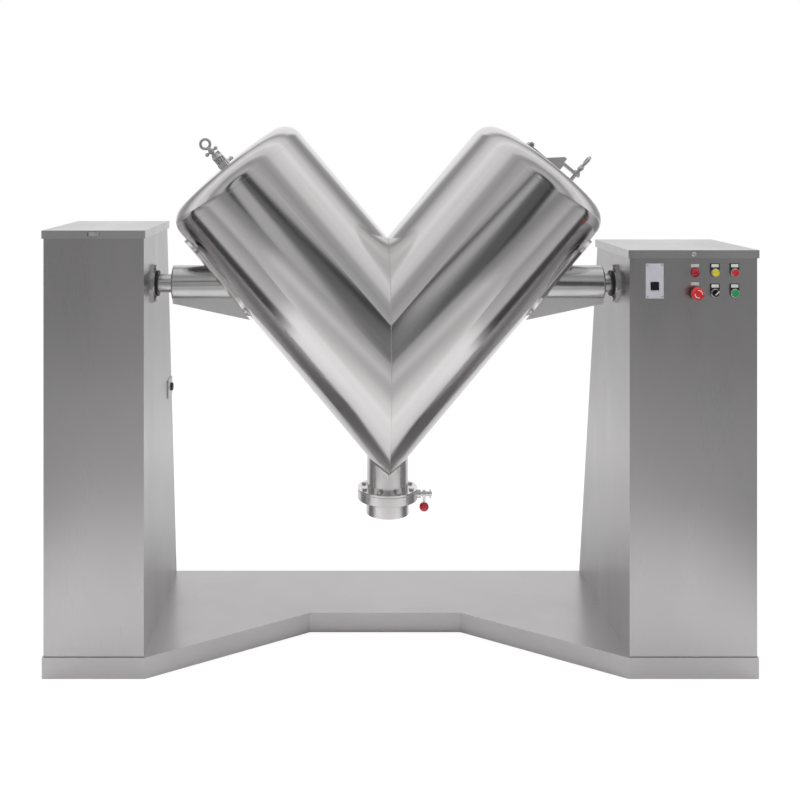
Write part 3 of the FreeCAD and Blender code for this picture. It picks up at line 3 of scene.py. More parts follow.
import bmesh
import bpy
from bpy.props import FloatProperty, FloatVectorProperty, IntProperty, PointerProperty
from bpy.types import Operator, Panel, PropertyGroup
from mathutils import Matrix, Vector


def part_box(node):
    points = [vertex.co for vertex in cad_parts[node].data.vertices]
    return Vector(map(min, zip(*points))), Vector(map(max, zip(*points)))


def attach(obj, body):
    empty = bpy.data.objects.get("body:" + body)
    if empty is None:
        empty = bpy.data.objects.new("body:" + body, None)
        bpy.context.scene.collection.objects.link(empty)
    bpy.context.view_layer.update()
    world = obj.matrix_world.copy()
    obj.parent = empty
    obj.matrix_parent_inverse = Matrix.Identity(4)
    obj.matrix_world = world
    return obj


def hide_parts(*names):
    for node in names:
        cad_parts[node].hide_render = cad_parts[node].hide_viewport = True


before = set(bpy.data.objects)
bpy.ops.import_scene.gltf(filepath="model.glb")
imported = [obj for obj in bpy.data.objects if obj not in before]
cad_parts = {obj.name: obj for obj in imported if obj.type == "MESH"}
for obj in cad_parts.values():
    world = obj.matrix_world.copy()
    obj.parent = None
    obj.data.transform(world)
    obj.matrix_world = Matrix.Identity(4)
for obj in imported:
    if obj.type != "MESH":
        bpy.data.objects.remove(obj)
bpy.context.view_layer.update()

bl_info = {
    "name": "Powder mixer",
    "version": (1, 0, 0),
    "blender": (4, 5, 0),
    "location": "View3D > Sidebar > Powder mixer",
    "description": "Dresses a V-type powder mixer in its stainless steel, plastics and seals",
    "category": "Object",
}

# A cloudy pattern's useful middle, as the second and third sockets of a range
PATTERN_MIDDLE = {1: 0.3, 2: 0.7}

# Places on the machine in metres. X runs along the trunnions, -Y is the front, Z is up.
SHAFT_Y = -0.176
MEET_Z = 0.951                        # where the arms' centre lines meet
HALF_ANGLE = math.radians(40)         # an arm's lean from upright
PANEL_Y = -0.326                      # the front face of the right column
DEVICE_X = (0.933, 0.993, 1.053)      # the columns of controls
DEVICE_Z = (1.241, 1.179)             # the upper and the lower row of controls
HOLDER_STANDS = 0.0032                # how far a legend holder stands out of the panel

# The vessel, along an arm from the meeting point
ARM_FOOT = -0.45                      # where an arm's tube starts before it is cut at the mitre
HEAD_SEAM = 0.722                     # the weld between tube and head
KNUCKLE_STEPS = 18
CROWN_STEPS = 8
OUTLET_CUT = (0.45, 0.80)             # the lower and upper end of the outlet's cutter, over the floor
OUTLET_TURNS = 96
LEAST_FACES = 1000                    # a vessel with fewer faces has failed to be cut
SAME_SPOT = 1e-6                      # points nearer than this are one
MIRROR_REACH = 1e-5                   # the same for the two arms along the mitre
ON_AXIS = 1e-9                        # a radius smaller than this lies on the axis

# A clamp screw, in its arm's coordinates
SCREW_REACH = 0.084                   # from the arm's centre line
SCREW_FOOT = 0.80426                  # from the meeting point

# The studio: lamps as name, place, aim, size and watts
LAMPS = (
    ("top_softbox", (0.0, 0.1, 4.2), (0.0, 0.0, 0.0), (6.0, 4.0), 125.0),
    ("key_softbox", (-3.2, -2.4, 3.4), (0.0, -0.2, 0.8), (3.4, 3.0), 45.0),
    ("fill_softbox", (3.6, -2.0, 3.0), (0.2, -0.2, 0.8), (3.0, 3.0), 25.0),
)
FLOOR_REACH = 9
FLOOR_SPAN = (-6.0, 8.0)              # the floor's ramp, from in front of the machine to behind it
# The floor's painted light and shade along that ramp, as metal sees it: light just in front of the machine,
# falling off towards the camera, painted shade under the machine and light again behind it.
FLOOR_PAINTED_LEVELS = (
    (0.0, 0.34), (0.257, 0.47), (0.377, 0.88), (0.420, 0.86), (0.437, 0.48),
    (0.464, 0.56), (0.521, 0.68), (0.60, 0.86), (0.93, 0.92), (1.0, 0.92),
)
# The room's grey levels, from the camera's side at 0 over the top to the wall behind the mixer at 1
ROOM_LEVELS = (
    (0.0, 0.12), (0.012, 0.12), (0.017, 0.05), (0.026, 0.06), (0.042, 0.44),
    (0.07, 0.54), (0.11, 0.46), (0.17, 0.38), (0.22, 0.44), (0.29, 0.72),
    (0.40, 0.78), (0.51, 0.92), (0.60, 0.78), (0.80, 0.34), (1.0, 0.50),
)
ROLL_LEVEL = 0.95                     # the paper roll behind the mixer
WALL_STRIP = 0.38                     # what the pale strip of wall behind the camera adds
# Painted shade and painted light in the floor's paint, as metal sees it:
SIDE_PAINTED_SHADE = 0.48                       # what the floor loses to the sides of the machine's front
STRIP_PAINTED_SHADE = 0.46                      # what it loses more in the dark strips beside the columns
LANE_PAINTED_LIGHT = 0.24                      # what it gains along the middle, near the camera
FLOOR_SEEN = 0.20                     # the floor's matt paint as the camera sees it, for a faint shadow
FLOOR_GLOW = 0.86                     # what brings that floor up to white
CAMERA_SPOT = (-0.1666, -3.476, 1.600)
CAMERA_LENS = 46.35
CAMERA_SENSOR = 36.0
CAMERA_SHIFT = (0.0806, -0.306)


def linear(code):
    """The linear red, green and blue of an sRGB hex colour."""
    channels = []
    for start in (1, 3, 5):
        level = int(code[start:start + 2], 16) / 255
        if level <= 0.04045:
            channels.append(level / 12.92)
        else:
            channels.append(((level + 0.055) / 1.055) ** 2.4)
    return tuple(channels)


# Settings that a user would change

def colour(name, description, code):
    return FloatVectorProperty(name=name, description=description, default=linear(code), size=3,
                               min=0.0, max=1.0, subtype="COLOR")


class MixerFinishes(PropertyGroup):
    """Colours and surface values of the mixer's materials."""
    ground_steel: colour("Ground sheet", "Stainless sheet of the columns and the plinth", "#BCBABB")
    polished_steel: colour("Polished vessel", "Polished stainless of the vessel", "#E0DEDE")
    turned_steel: colour("Turned steel", "Turned stainless of hubs, shafts and fittings", "#C9C8C8")
    motor_enamel: colour("Motor enamel", "Enamel of the motor", "#5B6B7C")
    knob_red: colour("Valve knob", "Phenolic ball on the valve lever", "#CC122E")
    button_yellow: colour("Yellow button", "Moulded cap of the yellow button", "#E8D52E")
    button_red: colour("Red button", "Moulded cap of the red button", "#D2282E")
    button_green: colour("Green button", "Moulded cap of the green button", "#18A05C")
    sheet_roughness: FloatProperty(name="Sheet roughness", description="Gloss of the ground sheet",
                                   default=0.30, min=0.05, max=0.8, subtype="FACTOR")
    vessel_roughness: FloatProperty(name="Vessel roughness", description="Gloss of the polished vessel",
                                    default=0.11, min=0.02, max=0.8, subtype="FACTOR")


class MixerSizes(PropertyGroup):
    """Sizes of the pieces that are made here."""
    arm_radius: FloatProperty(name="Arm radius", description="Outer radius of a vessel arm",
                              default=0.2475, unit="LENGTH")
    arm_wall: FloatProperty(name="Arm wall", description="Plate of the vessel",
                            default=0.004, unit="LENGTH")
    arm_length: FloatProperty(name="Arm length", description="Where the arms meet to where a head starts",
                              default=0.732, unit="LENGTH")
    knuckle: FloatProperty(name="Knuckle", description="Knuckle radius of a head",
                           default=0.060, unit="LENGTH")
    crown: FloatProperty(name="Crown", description="Crown radius of a head",
                         default=1.5, unit="LENGTH")
    port_hole: FloatProperty(name="Port hole", description="Radius of a head's hole for its port",
                             default=0.0702, unit="LENGTH")
    outlet_hole: FloatProperty(name="Outlet hole", description="Radius of the vessel's outlet hole",
                               default=0.0625, unit="LENGTH")
    turns: IntProperty(name="Smoothness", description="Faces round an arm", default=192, min=32, max=512)


# Small helpers for nodes

def add(tree, kind, settings=None, sockets=None):
    """Adds one node with its settings, and sets or links its sockets, named by their name or number. Where
    a node is given for a socket, its first output is meant."""
    made = tree.nodes.new(kind)
    for key, value in (settings or {}).items():
        setattr(made, key, value)
    for key, value in (sockets or {}).items():
        if isinstance(value, bpy.types.Node):
            value = value.outputs[0]
        if isinstance(value, bpy.types.NodeSocket):
            tree.links.new(value, made.inputs[key])
        else:
            made.inputs[key].default_value = value
    return made


def material(name, **sockets):
    """A new material with one principled shader, whose constant sockets are set, and its tree and shader."""
    made = bpy.data.materials.new(name)
    made.use_nodes = True
    tree = made.node_tree
    shader = tree.nodes["Principled BSDF"]
    for key, value in sockets.items():
        if isinstance(value, tuple):
            value = (*value, 1.0)
        shader.inputs[key.replace("_", " ").title()].default_value = value
    return made, tree, shader


def grain(tree, scale, detail, roughness, stretch=(1.0, 1.0, 1.0), place=None):
    """A cloudy pattern over the machine at rest, or over other coordinates, whose space is stretched."""
    if place is None:
        place = add(tree, "ShaderNodeTexCoord").outputs["Object"]
    place = add(tree, "ShaderNodeMapping", {}, {"Vector": place, "Scale": stretch})
    return add(tree, "ShaderNodeTexNoise", {}, {"Vector": place, "Scale": scale, "Detail": detail,
                                                "Roughness": roughness})


def blend(tree, first, share, second, other):
    """Adds two values, each times its share."""
    part = add(tree, "ShaderNodeMath", {"operation": "MULTIPLY"}, {0: second, 1: other})
    return add(tree, "ShaderNodeMath", {"operation": "MULTIPLY_ADD"}, {0: first, 1: share, 2: part})


def zone(tree, *edges):
    """1 inside a zone and 0 outside it, with soft edges. Each edge is a value, where the zone starts and
    where it is full."""
    inside = None
    for value, start, full in edges:
        edge = add(tree, "ShaderNodeMapRange", {"interpolation_type": "SMOOTHSTEP"},
                   {0: value, 1: start, 2: full})
        if inside is None:
            inside = edge
        else:
            inside = add(tree, "ShaderNodeMath", {"operation": "MULTIPLY"}, {0: inside, 1: edge})
    return inside


def surface(tree, shader, base, shade, gloss, relief, seam=None):
    """Makes a shader uneven. The shade is a pattern with its darkest and lightest factor on the base colour,
    the gloss one with its lowest and highest roughness, the relief one with its strength and depth in
    metres, and the seam a pattern with what it adds to the roughness."""
    pattern, low, high = shade
    level = add(tree, "ShaderNodeMapRange", {}, {0: pattern, **PATTERN_MIDDLE, 3: low, 4: high})
    colour = add(tree, "ShaderNodeVectorMath", {"operation": "SCALE"}, {0: base, "Scale": level})
    tree.links.new(colour.outputs[0], shader.inputs["Base Color"])
    pattern, low, high = gloss
    level = add(tree, "ShaderNodeMapRange", {}, {0: pattern, **PATTERN_MIDDLE, 3: low, 4: high})
    if seam:
        level = blend(tree, *seam, level, 1.0)
    tree.links.new(level.outputs[0], shader.inputs["Roughness"])
    pattern, strength, depth = relief
    bump = add(tree, "ShaderNodeBump", {}, {"Height": pattern, "Strength": strength, "Distance": depth})
    tree.links.new(bump.outputs[0], shader.inputs["Normal"])


def dress(made, *names):
    """Gives CAD nodes a material, and rounds their curved faces while their corners stay crisp."""
    for name in names:
        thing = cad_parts[name]
        thing.data.materials.clear()
        thing.data.materials.append(made)
        smooth(thing)


def smooth(thing, angle=25.0):
    thing.data.shade_smooth()
    thing.data.set_sharp_from_angle(angle=math.radians(angle))


# Small helpers for meshes

def piece(name, mesh, made, body):
    """Links a mesh as a piece that rides on a body and takes its finish from a slot."""
    thing = bpy.data.objects.new(name, mesh)
    bpy.context.scene.collection.objects.link(thing)
    thing.data.materials.append(made)
    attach(thing, body)
    return thing


def from_bmesh(name, work):
    bmesh.ops.recalc_face_normals(work, faces=work.faces)
    mesh = bpy.data.meshes.new(name)
    work.to_mesh(mesh)
    work.free()
    return mesh


def facing_front(x, y, z):
    """A place whose own Z axis points to the front."""
    return Matrix.Translation((x, y, z)) @ Matrix.Rotation(math.radians(90), 4, "X")


def rectangle(left, right, low, high):
    return [(left, low), (right, low), (right, high), (left, high)]


def round_spot(radius, angle, height):
    return Vector((radius * math.cos(angle), radius * math.sin(angle), height))


def lathe(work, profile, turns, place):
    """Turns a closed profile of (radius, height) about Z into a solid ring or body."""
    rings = []
    for step in range(turns):
        angle = 2 * math.pi * step / turns
        rings.append([work.verts.new(place @ round_spot(radius, angle, height))
                      for radius, height in profile])
    for step in range(turns):
        here, there = rings[step], rings[(step + 1) % turns]
        for index in range(len(profile)):
            after = (index + 1) % len(profile)
            if profile[index][0] < ON_AXIS and profile[after][0] < ON_AXIS:
                continue
            work.faces.new([here[index], there[index], there[after], here[after]])
    bmesh.ops.remove_doubles(work, verts=work.verts, dist=SAME_SPOT)


def rounded_plate(work, outline, place, thickness, edge):
    """A flat plate with this outline of (u, v), its front rim rounded by edge."""
    verts = [work.verts.new(place @ Vector((u, v, 0.0))) for u, v in outline]
    face = work.faces.new(verts)
    made = bmesh.ops.extrude_face_region(work, geom=[face])
    lift = place.to_3x3() @ Vector((0.0, 0.0, thickness))
    top = [item for item in made["geom"] if isinstance(item, bmesh.types.BMVert)]
    bmesh.ops.translate(work, verts=top, vec=lift)
    rim = [item for item in made["geom"] if isinstance(item, bmesh.types.BMEdge)]
    bmesh.ops.bevel(work, geom=rim, offset=edge, segments=3, affect="EDGES")


# Materials

def ground_sheet(name, along, base, roughness):
    """Austenitic stainless sheet, ground with a fine belt: an even silver-grey with a soft directional sheen,
    faint grit lines along the belt and slow cloudy changes of gloss."""
    made, tree, shader = material(name, metallic=1.0, base_color=base, roughness=roughness, anisotropic=0.35)
    # Grit lines are about 0.2 mm apart on the real sheet and drawn 1 mm apart, 80 times as long.
    stretch = [1000.0, 1000.0, 1000.0]
    stretch["xyz".index(along)] = 12.0
    lines = grain(tree, 1.0, 3.0, 0.6, stretch)
    clouds = grain(tree, 5.0, 2.0, 0.4)
    # Wiping marks are 0.1 m wide and run upright for 0.5 m.
    wiped = grain(tree, 1.0, 4.0, 0.55, (9.0, 9.0, 2.0))
    surface(tree, shader, base,
            shade=(blend(tree, lines, 0.5, clouds, 0.5), 0.97, 1.03),
            gloss=(blend(tree, lines, 0.55, wiped, 0.45), roughness - 0.05, roughness + 0.06),
            relief=(lines, 0.12, 0.0002))
    return made


def polished_vessel(name, base, roughness):
    """Austenitic stainless, belt polished along each arm: near-mirror reflections drawn out lengthwise, which
    the base colour partly copies as painted reflection, a fine seam where the arms are welded at the mitre
    and another where each head is welded on."""
    made, tree, shader = material(name, metallic=1.0, base_color=base, roughness=roughness, anisotropic=0.25)
    place = add(tree, "ShaderNodeTexCoord").outputs["Object"]
    meeting = (0.0, SHAFT_Y, MEET_Z)
    place = add(tree, "ShaderNodeVectorMath", {"operation": "SUBTRACT"}, {0: place, 1: meeting})
    x, depth, height = add(tree, "ShaderNodeSeparateXYZ", {}, {0: place}).outputs
    across = add(tree, "ShaderNodeMath", {"operation": "ABSOLUTE"}, {0: x})
    sine = math.sin(HALF_ANGLE)
    cosine = math.cos(HALF_ANGLE)
    along = blend(tree, across, sine, height, cosine)
    side = blend(tree, across, cosine, height, -sine)
    arm = add(tree, "ShaderNodeCombineXYZ", {}, {0: side, 1: depth, 2: along})
    # Polishing marks are about 1.5 mm wide and 0.4 m long. Slow bands are 45 mm wide and run most of an arm.
    marks = grain(tree, 1.0, 3.0, 0.65, (650.0, 650.0, 2.5), arm)
    bands = grain(tree, 1.0, 2.0, 0.5, (22.0, 22.0, 1.2), arm)
    # The mitre's weld, ground flush, shows as a 3 mm line, and a head's weld as a fainter one of 2 mm.
    mitre = zone(tree, (across, 0.0022, 0.0008))
    past = add(tree, "ShaderNodeMath", {"operation": "SUBTRACT"}, {0: along, 1: HEAD_SEAM})
    past = add(tree, "ShaderNodeMath", {"operation": "ABSOLUTE"}, {0: past})
    girth = zone(tree, (past, 0.0016, 0.0004))
    girth = add(tree, "ShaderNodeMath", {"operation": "MULTIPLY"}, {0: girth, 1: 0.6})
    seam = add(tree, "ShaderNodeMath", {"operation": "MAXIMUM"}, {0: mitre, 1: girth})
    # The base colour mixes the real polishing marks with the bands, which are partly polishing and partly
    # painted reflection of the studio's light.
    marks_and_painted_reflection = blend(tree, marks, 0.35, bands, 0.65)
    surface(tree, shader, base,
            shade=(blend(tree, marks_and_painted_reflection, 1.0, seam, -0.25), 0.90, 1.05),
            gloss=(blend(tree, marks, 0.5, bands, 0.5), roughness - 0.03, roughness + 0.05),
            relief=(blend(tree, marks, 1.0, seam, 0.9), 0.10, 0.0003),
            seam=(seam, 0.16))
    return made


def turned_steel(name, base, roughness, axis):
    """Stainless turned on a lathe: bright, with fine rings round its axis that catch the light in
    thin arcs."""
    made, tree, shader = material(name, metallic=1.0, base_color=base, roughness=roughness)
    # Tool marks are 0.15 mm apart and drawn 0.7 mm apart, so that they show.
    stretch = [40.0, 40.0, 40.0]
    stretch["xyz".index(axis)] = 1400.0
    rings = grain(tree, 1.0, 2.0, 0.5, stretch)
    clouds = grain(tree, 18.0, 3.0, 0.5)
    surface(tree, shader, base,
            shade=(blend(tree, rings, 0.5, clouds, 0.5), 0.88, 1.06),
            gloss=(rings, roughness - 0.04, roughness + 0.07),
            relief=(rings, 0.15, 0.0002))
    return made


def moulded(name, base, roughness, fineness=900.0, coat=0.0, strength=0.08):
    """A moulded thermoplastic or thermoset: even through-colour, a soft highlight and the mould's
    fine texture, with so many grains to a metre."""
    made, tree, shader = material(name, base_color=base, roughness=roughness, coat_weight=coat,
                                  coat_roughness=0.08)
    # A mould's texture has grains of some 0.2 mm. They are drawn 0.8 to 3 mm wide, to show at all.
    texture = grain(tree, fineness, 2.0, 0.5)
    flow = grain(tree, 45.0, 3.0, 0.5)
    surface(tree, shader, base,
            shade=(flow, 0.92, 1.05),
            gloss=(texture, roughness - 0.03, roughness + 0.06),
            relief=(texture, strength, 0.0002))
    return made


def painted(name, base, roughness):
    """Stoving enamel over a casting or plate: low orange-peel waves under a satin skin, with a little
    dust on top."""
    made, tree, shader = material(name, base_color=base, roughness=roughness, coat_weight=0.2,
                                  coat_roughness=0.2)
    # The peel's waves are 3 mm apart.
    peel = grain(tree, 320.0, 2.0, 0.5)
    dust = grain(tree, 14.0, 5.0, 0.6)
    surface(tree, shader, base,
            shade=(dust, 0.86, 1.08),
            gloss=(dust, roughness - 0.05, roughness + 0.10),
            relief=(peel, 0.18, 0.0004))
    return made


def rubber(name, base, roughness):
    """Moulded elastomer: dull, with a fine powdery bloom."""
    made, tree, shader = material(name, base_color=base, roughness=roughness)
    # The bloom's patches are 17 mm wide, and the pores, finer on the real one, 0.7 mm.
    bloom = grain(tree, 60.0, 4.0, 0.6)
    pores = grain(tree, 1500.0, 1.0, 0.5)
    surface(tree, shader, base,
            shade=(bloom, 0.85, 1.12),
            gloss=(bloom, roughness - 0.08, roughness + 0.08),
            relief=(pores, 0.12, 0.0002))
    return made


def anodised(name, base, roughness):
    """Anodised aluminium plate: pale, slightly violet grey, matt from a fine etch."""
    made, tree, shader = material(name, metallic=0.15, base_color=base, roughness=roughness)
    # The etch is finer than 0.1 mm and drawn 0.6 mm wide, so that it shows.
    etch = grain(tree, 1800.0, 1.0, 0.5)
    clouds = grain(tree, 40.0, 3.0, 0.5)
    surface(tree, shader, base,
            shade=(clouds, 0.95, 1.04),
            gloss=(etch, roughness - 0.05, roughness + 0.07),
            relief=(etch, 0.06, 0.0001))
    return made


def finishes():
    return bpy.context.scene.mixer_finishes


def sizes():
    return bpy.context.scene.mixer_sizes


# Operators, one for each piece or group of like pieces

class MIXER_OT_sheet_metal(Operator):
    """Finishes the columns, caps, doors and plinth in ground stainless sheet"""
    bl_idname = "mixer.sheet_metal"
    bl_label = "Sheet metal"

    def execute(self, context):
        base = tuple(finishes().ground_steel)
        upright = ground_sheet("ground_stainless_upright", "z", base, finishes().sheet_roughness)
        level = ground_sheet("ground_stainless_level", "x", base, finishes().sheet_roughness)
        dress(upright, "left_column_shell", "right_column_shell", "left_back_door", "right_back_door")
        dress(level, "base_plinth")
        # The caps get a lighter copy of the column sheet, a painted highlight that brightens their top faces.
        cap = ground_sheet("ground_stainless_cap_painted_highlight", "x", linear("#CAC9C9"), finishes().sheet_roughness)
        dress(cap, "left_column_cap", "right_column_cap")
        return {"FINISHED"}


class MIXER_OT_vessel(Operator):
    """Builds the smooth polished vessel, two mitred arms with dished heads"""
    bl_idname = "mixer.vessel"
    bl_label = "Vessel"

    def execute(self, context):
        values = sizes()
        made = polished_vessel("belt_polished_stainless", tuple(finishes().polished_steel),
                               finishes().vessel_roughness)
        profile = self.wall(values)
        work = bmesh.new()
        turn = Matrix.Translation((0.0, SHAFT_Y, MEET_Z)) @ Matrix.Rotation(HALF_ANGLE, 4, "Y")
        lathe(work, profile, values.turns, turn)
        bmesh.ops.bisect_plane(work, geom=work.verts[:] + work.edges[:] + work.faces[:], plane_co=(0, 0, 0),
                               plane_no=(-1, 0, 0), clear_outer=True)
        for vert in work.verts:
            if abs(vert.co.x) < SAME_SPOT:
                vert.co.x = 0.0
        bmesh.ops.mirror(work, geom=work.verts[:] + work.edges[:] + work.faces[:], axis="X",
                         merge_dist=MIRROR_REACH)
        mesh = from_bmesh("vessel_polished", work)
        vessel = piece("vessel_polished", mesh, made, "drum")
        self.open_outlet(vessel, values)
        smooth(vessel, angle=32.0)
        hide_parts("left_vessel_arm", "right_vessel_arm")
        dress(made, "left_pad_plate", "right_pad_plate")
        gussets = ground_sheet("satin_stainless_gussets", "x", linear("#E6E5E5"), 0.74)
        dress(gussets, "hub_gussets")
        return {"FINISHED"}

    def wall(self, values):
        """The wall's closed outline in an arm's (radius, height), from below the meeting point to the
        port. Each side is a straight tube, then the knuckle's arc, then the crown's arc."""
        outer, inner = [], []
        knuckle_middle = values.arm_radius - values.knuckle
        ball_reach = values.crown - values.knuckle
        middle = values.arm_length - math.sqrt(ball_reach ** 2 - knuckle_middle ** 2)
        lean = math.asin(knuckle_middle / ball_reach)
        quarter = math.radians(90)
        for line, depth in ((outer, 0.0), (inner, values.arm_wall)):
            line.append((values.arm_radius - depth, ARM_FOOT))
            bend = values.knuckle - depth
            for step in range(KNUCKLE_STEPS + 1):
                angle = quarter * step / KNUCKLE_STEPS * (1 - lean / quarter)
                line.append((knuckle_middle + bend * math.cos(angle),
                             values.arm_length + bend * math.sin(angle)))
            ball = values.crown - depth
            start = ball * math.sin(lean)
            for step in range(1, CROWN_STEPS + 1):
                reach = start + (values.port_hole - start) * step / CROWN_STEPS
                line.append((reach, middle + math.sqrt(ball ** 2 - reach ** 2)))
        return outer + inner[::-1]

    def open_outlet(self, vessel, values):
        """Cuts the outlet's round hole through the bottom of the V."""
        work = bmesh.new()
        lathe(work, rectangle(0.0, values.outlet_hole, *OUTLET_CUT), OUTLET_TURNS,
              Matrix.Translation((0.0, SHAFT_Y, 0.0)))
        cutter = bpy.data.objects.new("outlet_cutter", from_bmesh("outlet_cutter", work))
        bpy.context.scene.collection.objects.link(cutter)
        cut = vessel.modifiers.new("outlet", "BOOLEAN")
        cut.operation = "DIFFERENCE"
        cut.object = cutter
        cut.solver = "EXACT"
        bpy.context.view_layer.update()
        graph = bpy.context.evaluated_depsgraph_get()
        result = bpy.data.meshes.new_from_object(vessel.evaluated_get(graph))
        if len(result.polygons) < LEAST_FACES:
            raise RuntimeError("the outlet's cut left no vessel")
        vessel.modifiers.clear()
        vessel.data = result
        bpy.data.objects.remove(cutter)


class MIXER_OT_covers(Operator):
    """Finishes the charging covers, their ports and clamp screws, and adds the screws' threads"""
    bl_idname = "mixer.covers"
    bl_label = "Charging covers"

    def execute(self, context):
        base = tuple(finishes().polished_steel)
        polished = turned_steel("polished_stainless_fittings", base, 0.42, "z")
        dress(polished, "left_lid", "right_lid", "left_port_ring", "right_port_ring")
        bright = turned_steel("turned_stainless_screws", tuple(finishes().turned_steel), 0.22, "z")
        dress(bright, "left_eye_screw", "right_eye_screw", "lid_hinge_pins")
        dress(rubber("white_silicone", linear("#DEDDD8"), 0.55), "lid_gaskets", "flange_gasket")
        for side in ("left", "right"):
            right = side == "right"
            lean = HALF_ANGLE if right else -HALF_ANGLE
            arm = Matrix.Translation((0.0, SHAFT_Y, MEET_Z)) @ Matrix.Rotation(lean, 4, "Y")
            # The left lid is clamped at the front and the right one at its outer side.
            arm = arm @ Matrix.Rotation(math.radians(90 if right else 0), 4, "Z")
            arm = arm @ Matrix.Translation((0.0, -SCREW_REACH, SCREW_FOOT))
            mesh = self.thread(arm)
            screw = piece(side + "_screw_thread", mesh, bright, side + "_clamp")
            smooth(screw, angle=40.0)
        return {"FINISHED"}

    def thread(self, arm):
        """A helical ridge of 1.75 mm pitch round the screw, between the strap and the yoke."""
        work = bmesh.new()
        low = 0.0105
        high = 0.0290
        pitch = 0.00175
        root = 0.00585
        crest = root + 0.00065
        foot = 0.42 * pitch
        spots = ((root, -foot), (crest, 0.0), (root, foot))
        steps = 24
        rings = []
        for step in range(int((high - low) / pitch) * steps + 1):
            angle = 2 * math.pi * step / steps
            height = low + pitch * step / steps
            rings.append([work.verts.new(arm @ round_spot(radius, angle, height + rise))
                          for radius, rise in spots])
        for here, there in zip(rings, rings[1:]):
            for index in range(len(spots)):
                after = (index + 1) % len(spots)
                work.faces.new((here[index], there[index], there[after], here[after]))
        work.faces.new(rings[0])
        work.faces.new(rings[-1][::-1])
        return from_bmesh("screw_thread", work)


class MIXER_OT_trunnions(Operator):
    """Finishes the hubs, shafts, bearings and their bolts"""
    bl_idname = "mixer.trunnions"
    bl_label = "Trunnions"

    def execute(self, context):
        base = tuple(finishes().turned_steel)
        dress(turned_steel("turned_stainless_hubs", base, 0.15, "x"), "left_hub", "right_hub",
              "left_trunnion_shaft", "right_trunnion_shaft")
        dress(turned_steel("turned_stainless_housings", base, 0.30, "x"), "left_bearing_housing",
              "right_bearing_housing", "bearing_bolts", "bearing_inserts", "door_hinges")
        dress(rubber("black_nitrile", linear("#1D1D1E"), 0.5), "shaft_collars")
        return {"FINISHED"}


class MIXER_OT_outlet(Operator):
    """Finishes the outlet neck, the butterfly valve and its lever"""
    bl_idname = "mixer.outlet"
    bl_label = "Outlet valve"

    def execute(self, context):
        base = tuple(finishes().polished_steel)
        dress(turned_steel("polished_stainless_flanges", base, 0.19, "z"), "discharge_neck", "valve_body",
              "valve_disc")
        dress(turned_steel("turned_stainless_stem", base, 0.24, "x"), "valve_stem", "valve_lever",
              "flange_bolts")
        dress(moulded("white_ptfe", linear("#E4E3DD"), 0.42, fineness=700.0), "valve_seat")
        knob = moulded("red_phenolic", tuple(finishes().knob_red), 0.16, fineness=500.0, coat=0.6,
                       strength=0.03)
        dress(knob, "lever_knob")
        return {"FINISHED"}


class MIXER_OT_drive(Operator):
    """Finishes the reducer, the motor and the plates inside the right column"""
    bl_idname = "mixer.drive"
    bl_label = "Drive"

    def execute(self, context):
        dress(painted("grey_enamel_casting", linear("#6E7277"), 0.42), "gear_reducer")
        dress(painted("blue_grey_enamel", tuple(finishes().motor_enamel), 0.38), "drive_motor")
        dress(painted("grey_primer_plate", linear("#8A8C8E"), 0.55), "backing_plates", "torque_arm")
        dress(moulded("black_polyamide", linear("#1C1C1E"), 0.45), "cable_gland")
        return {"FINISHED"}


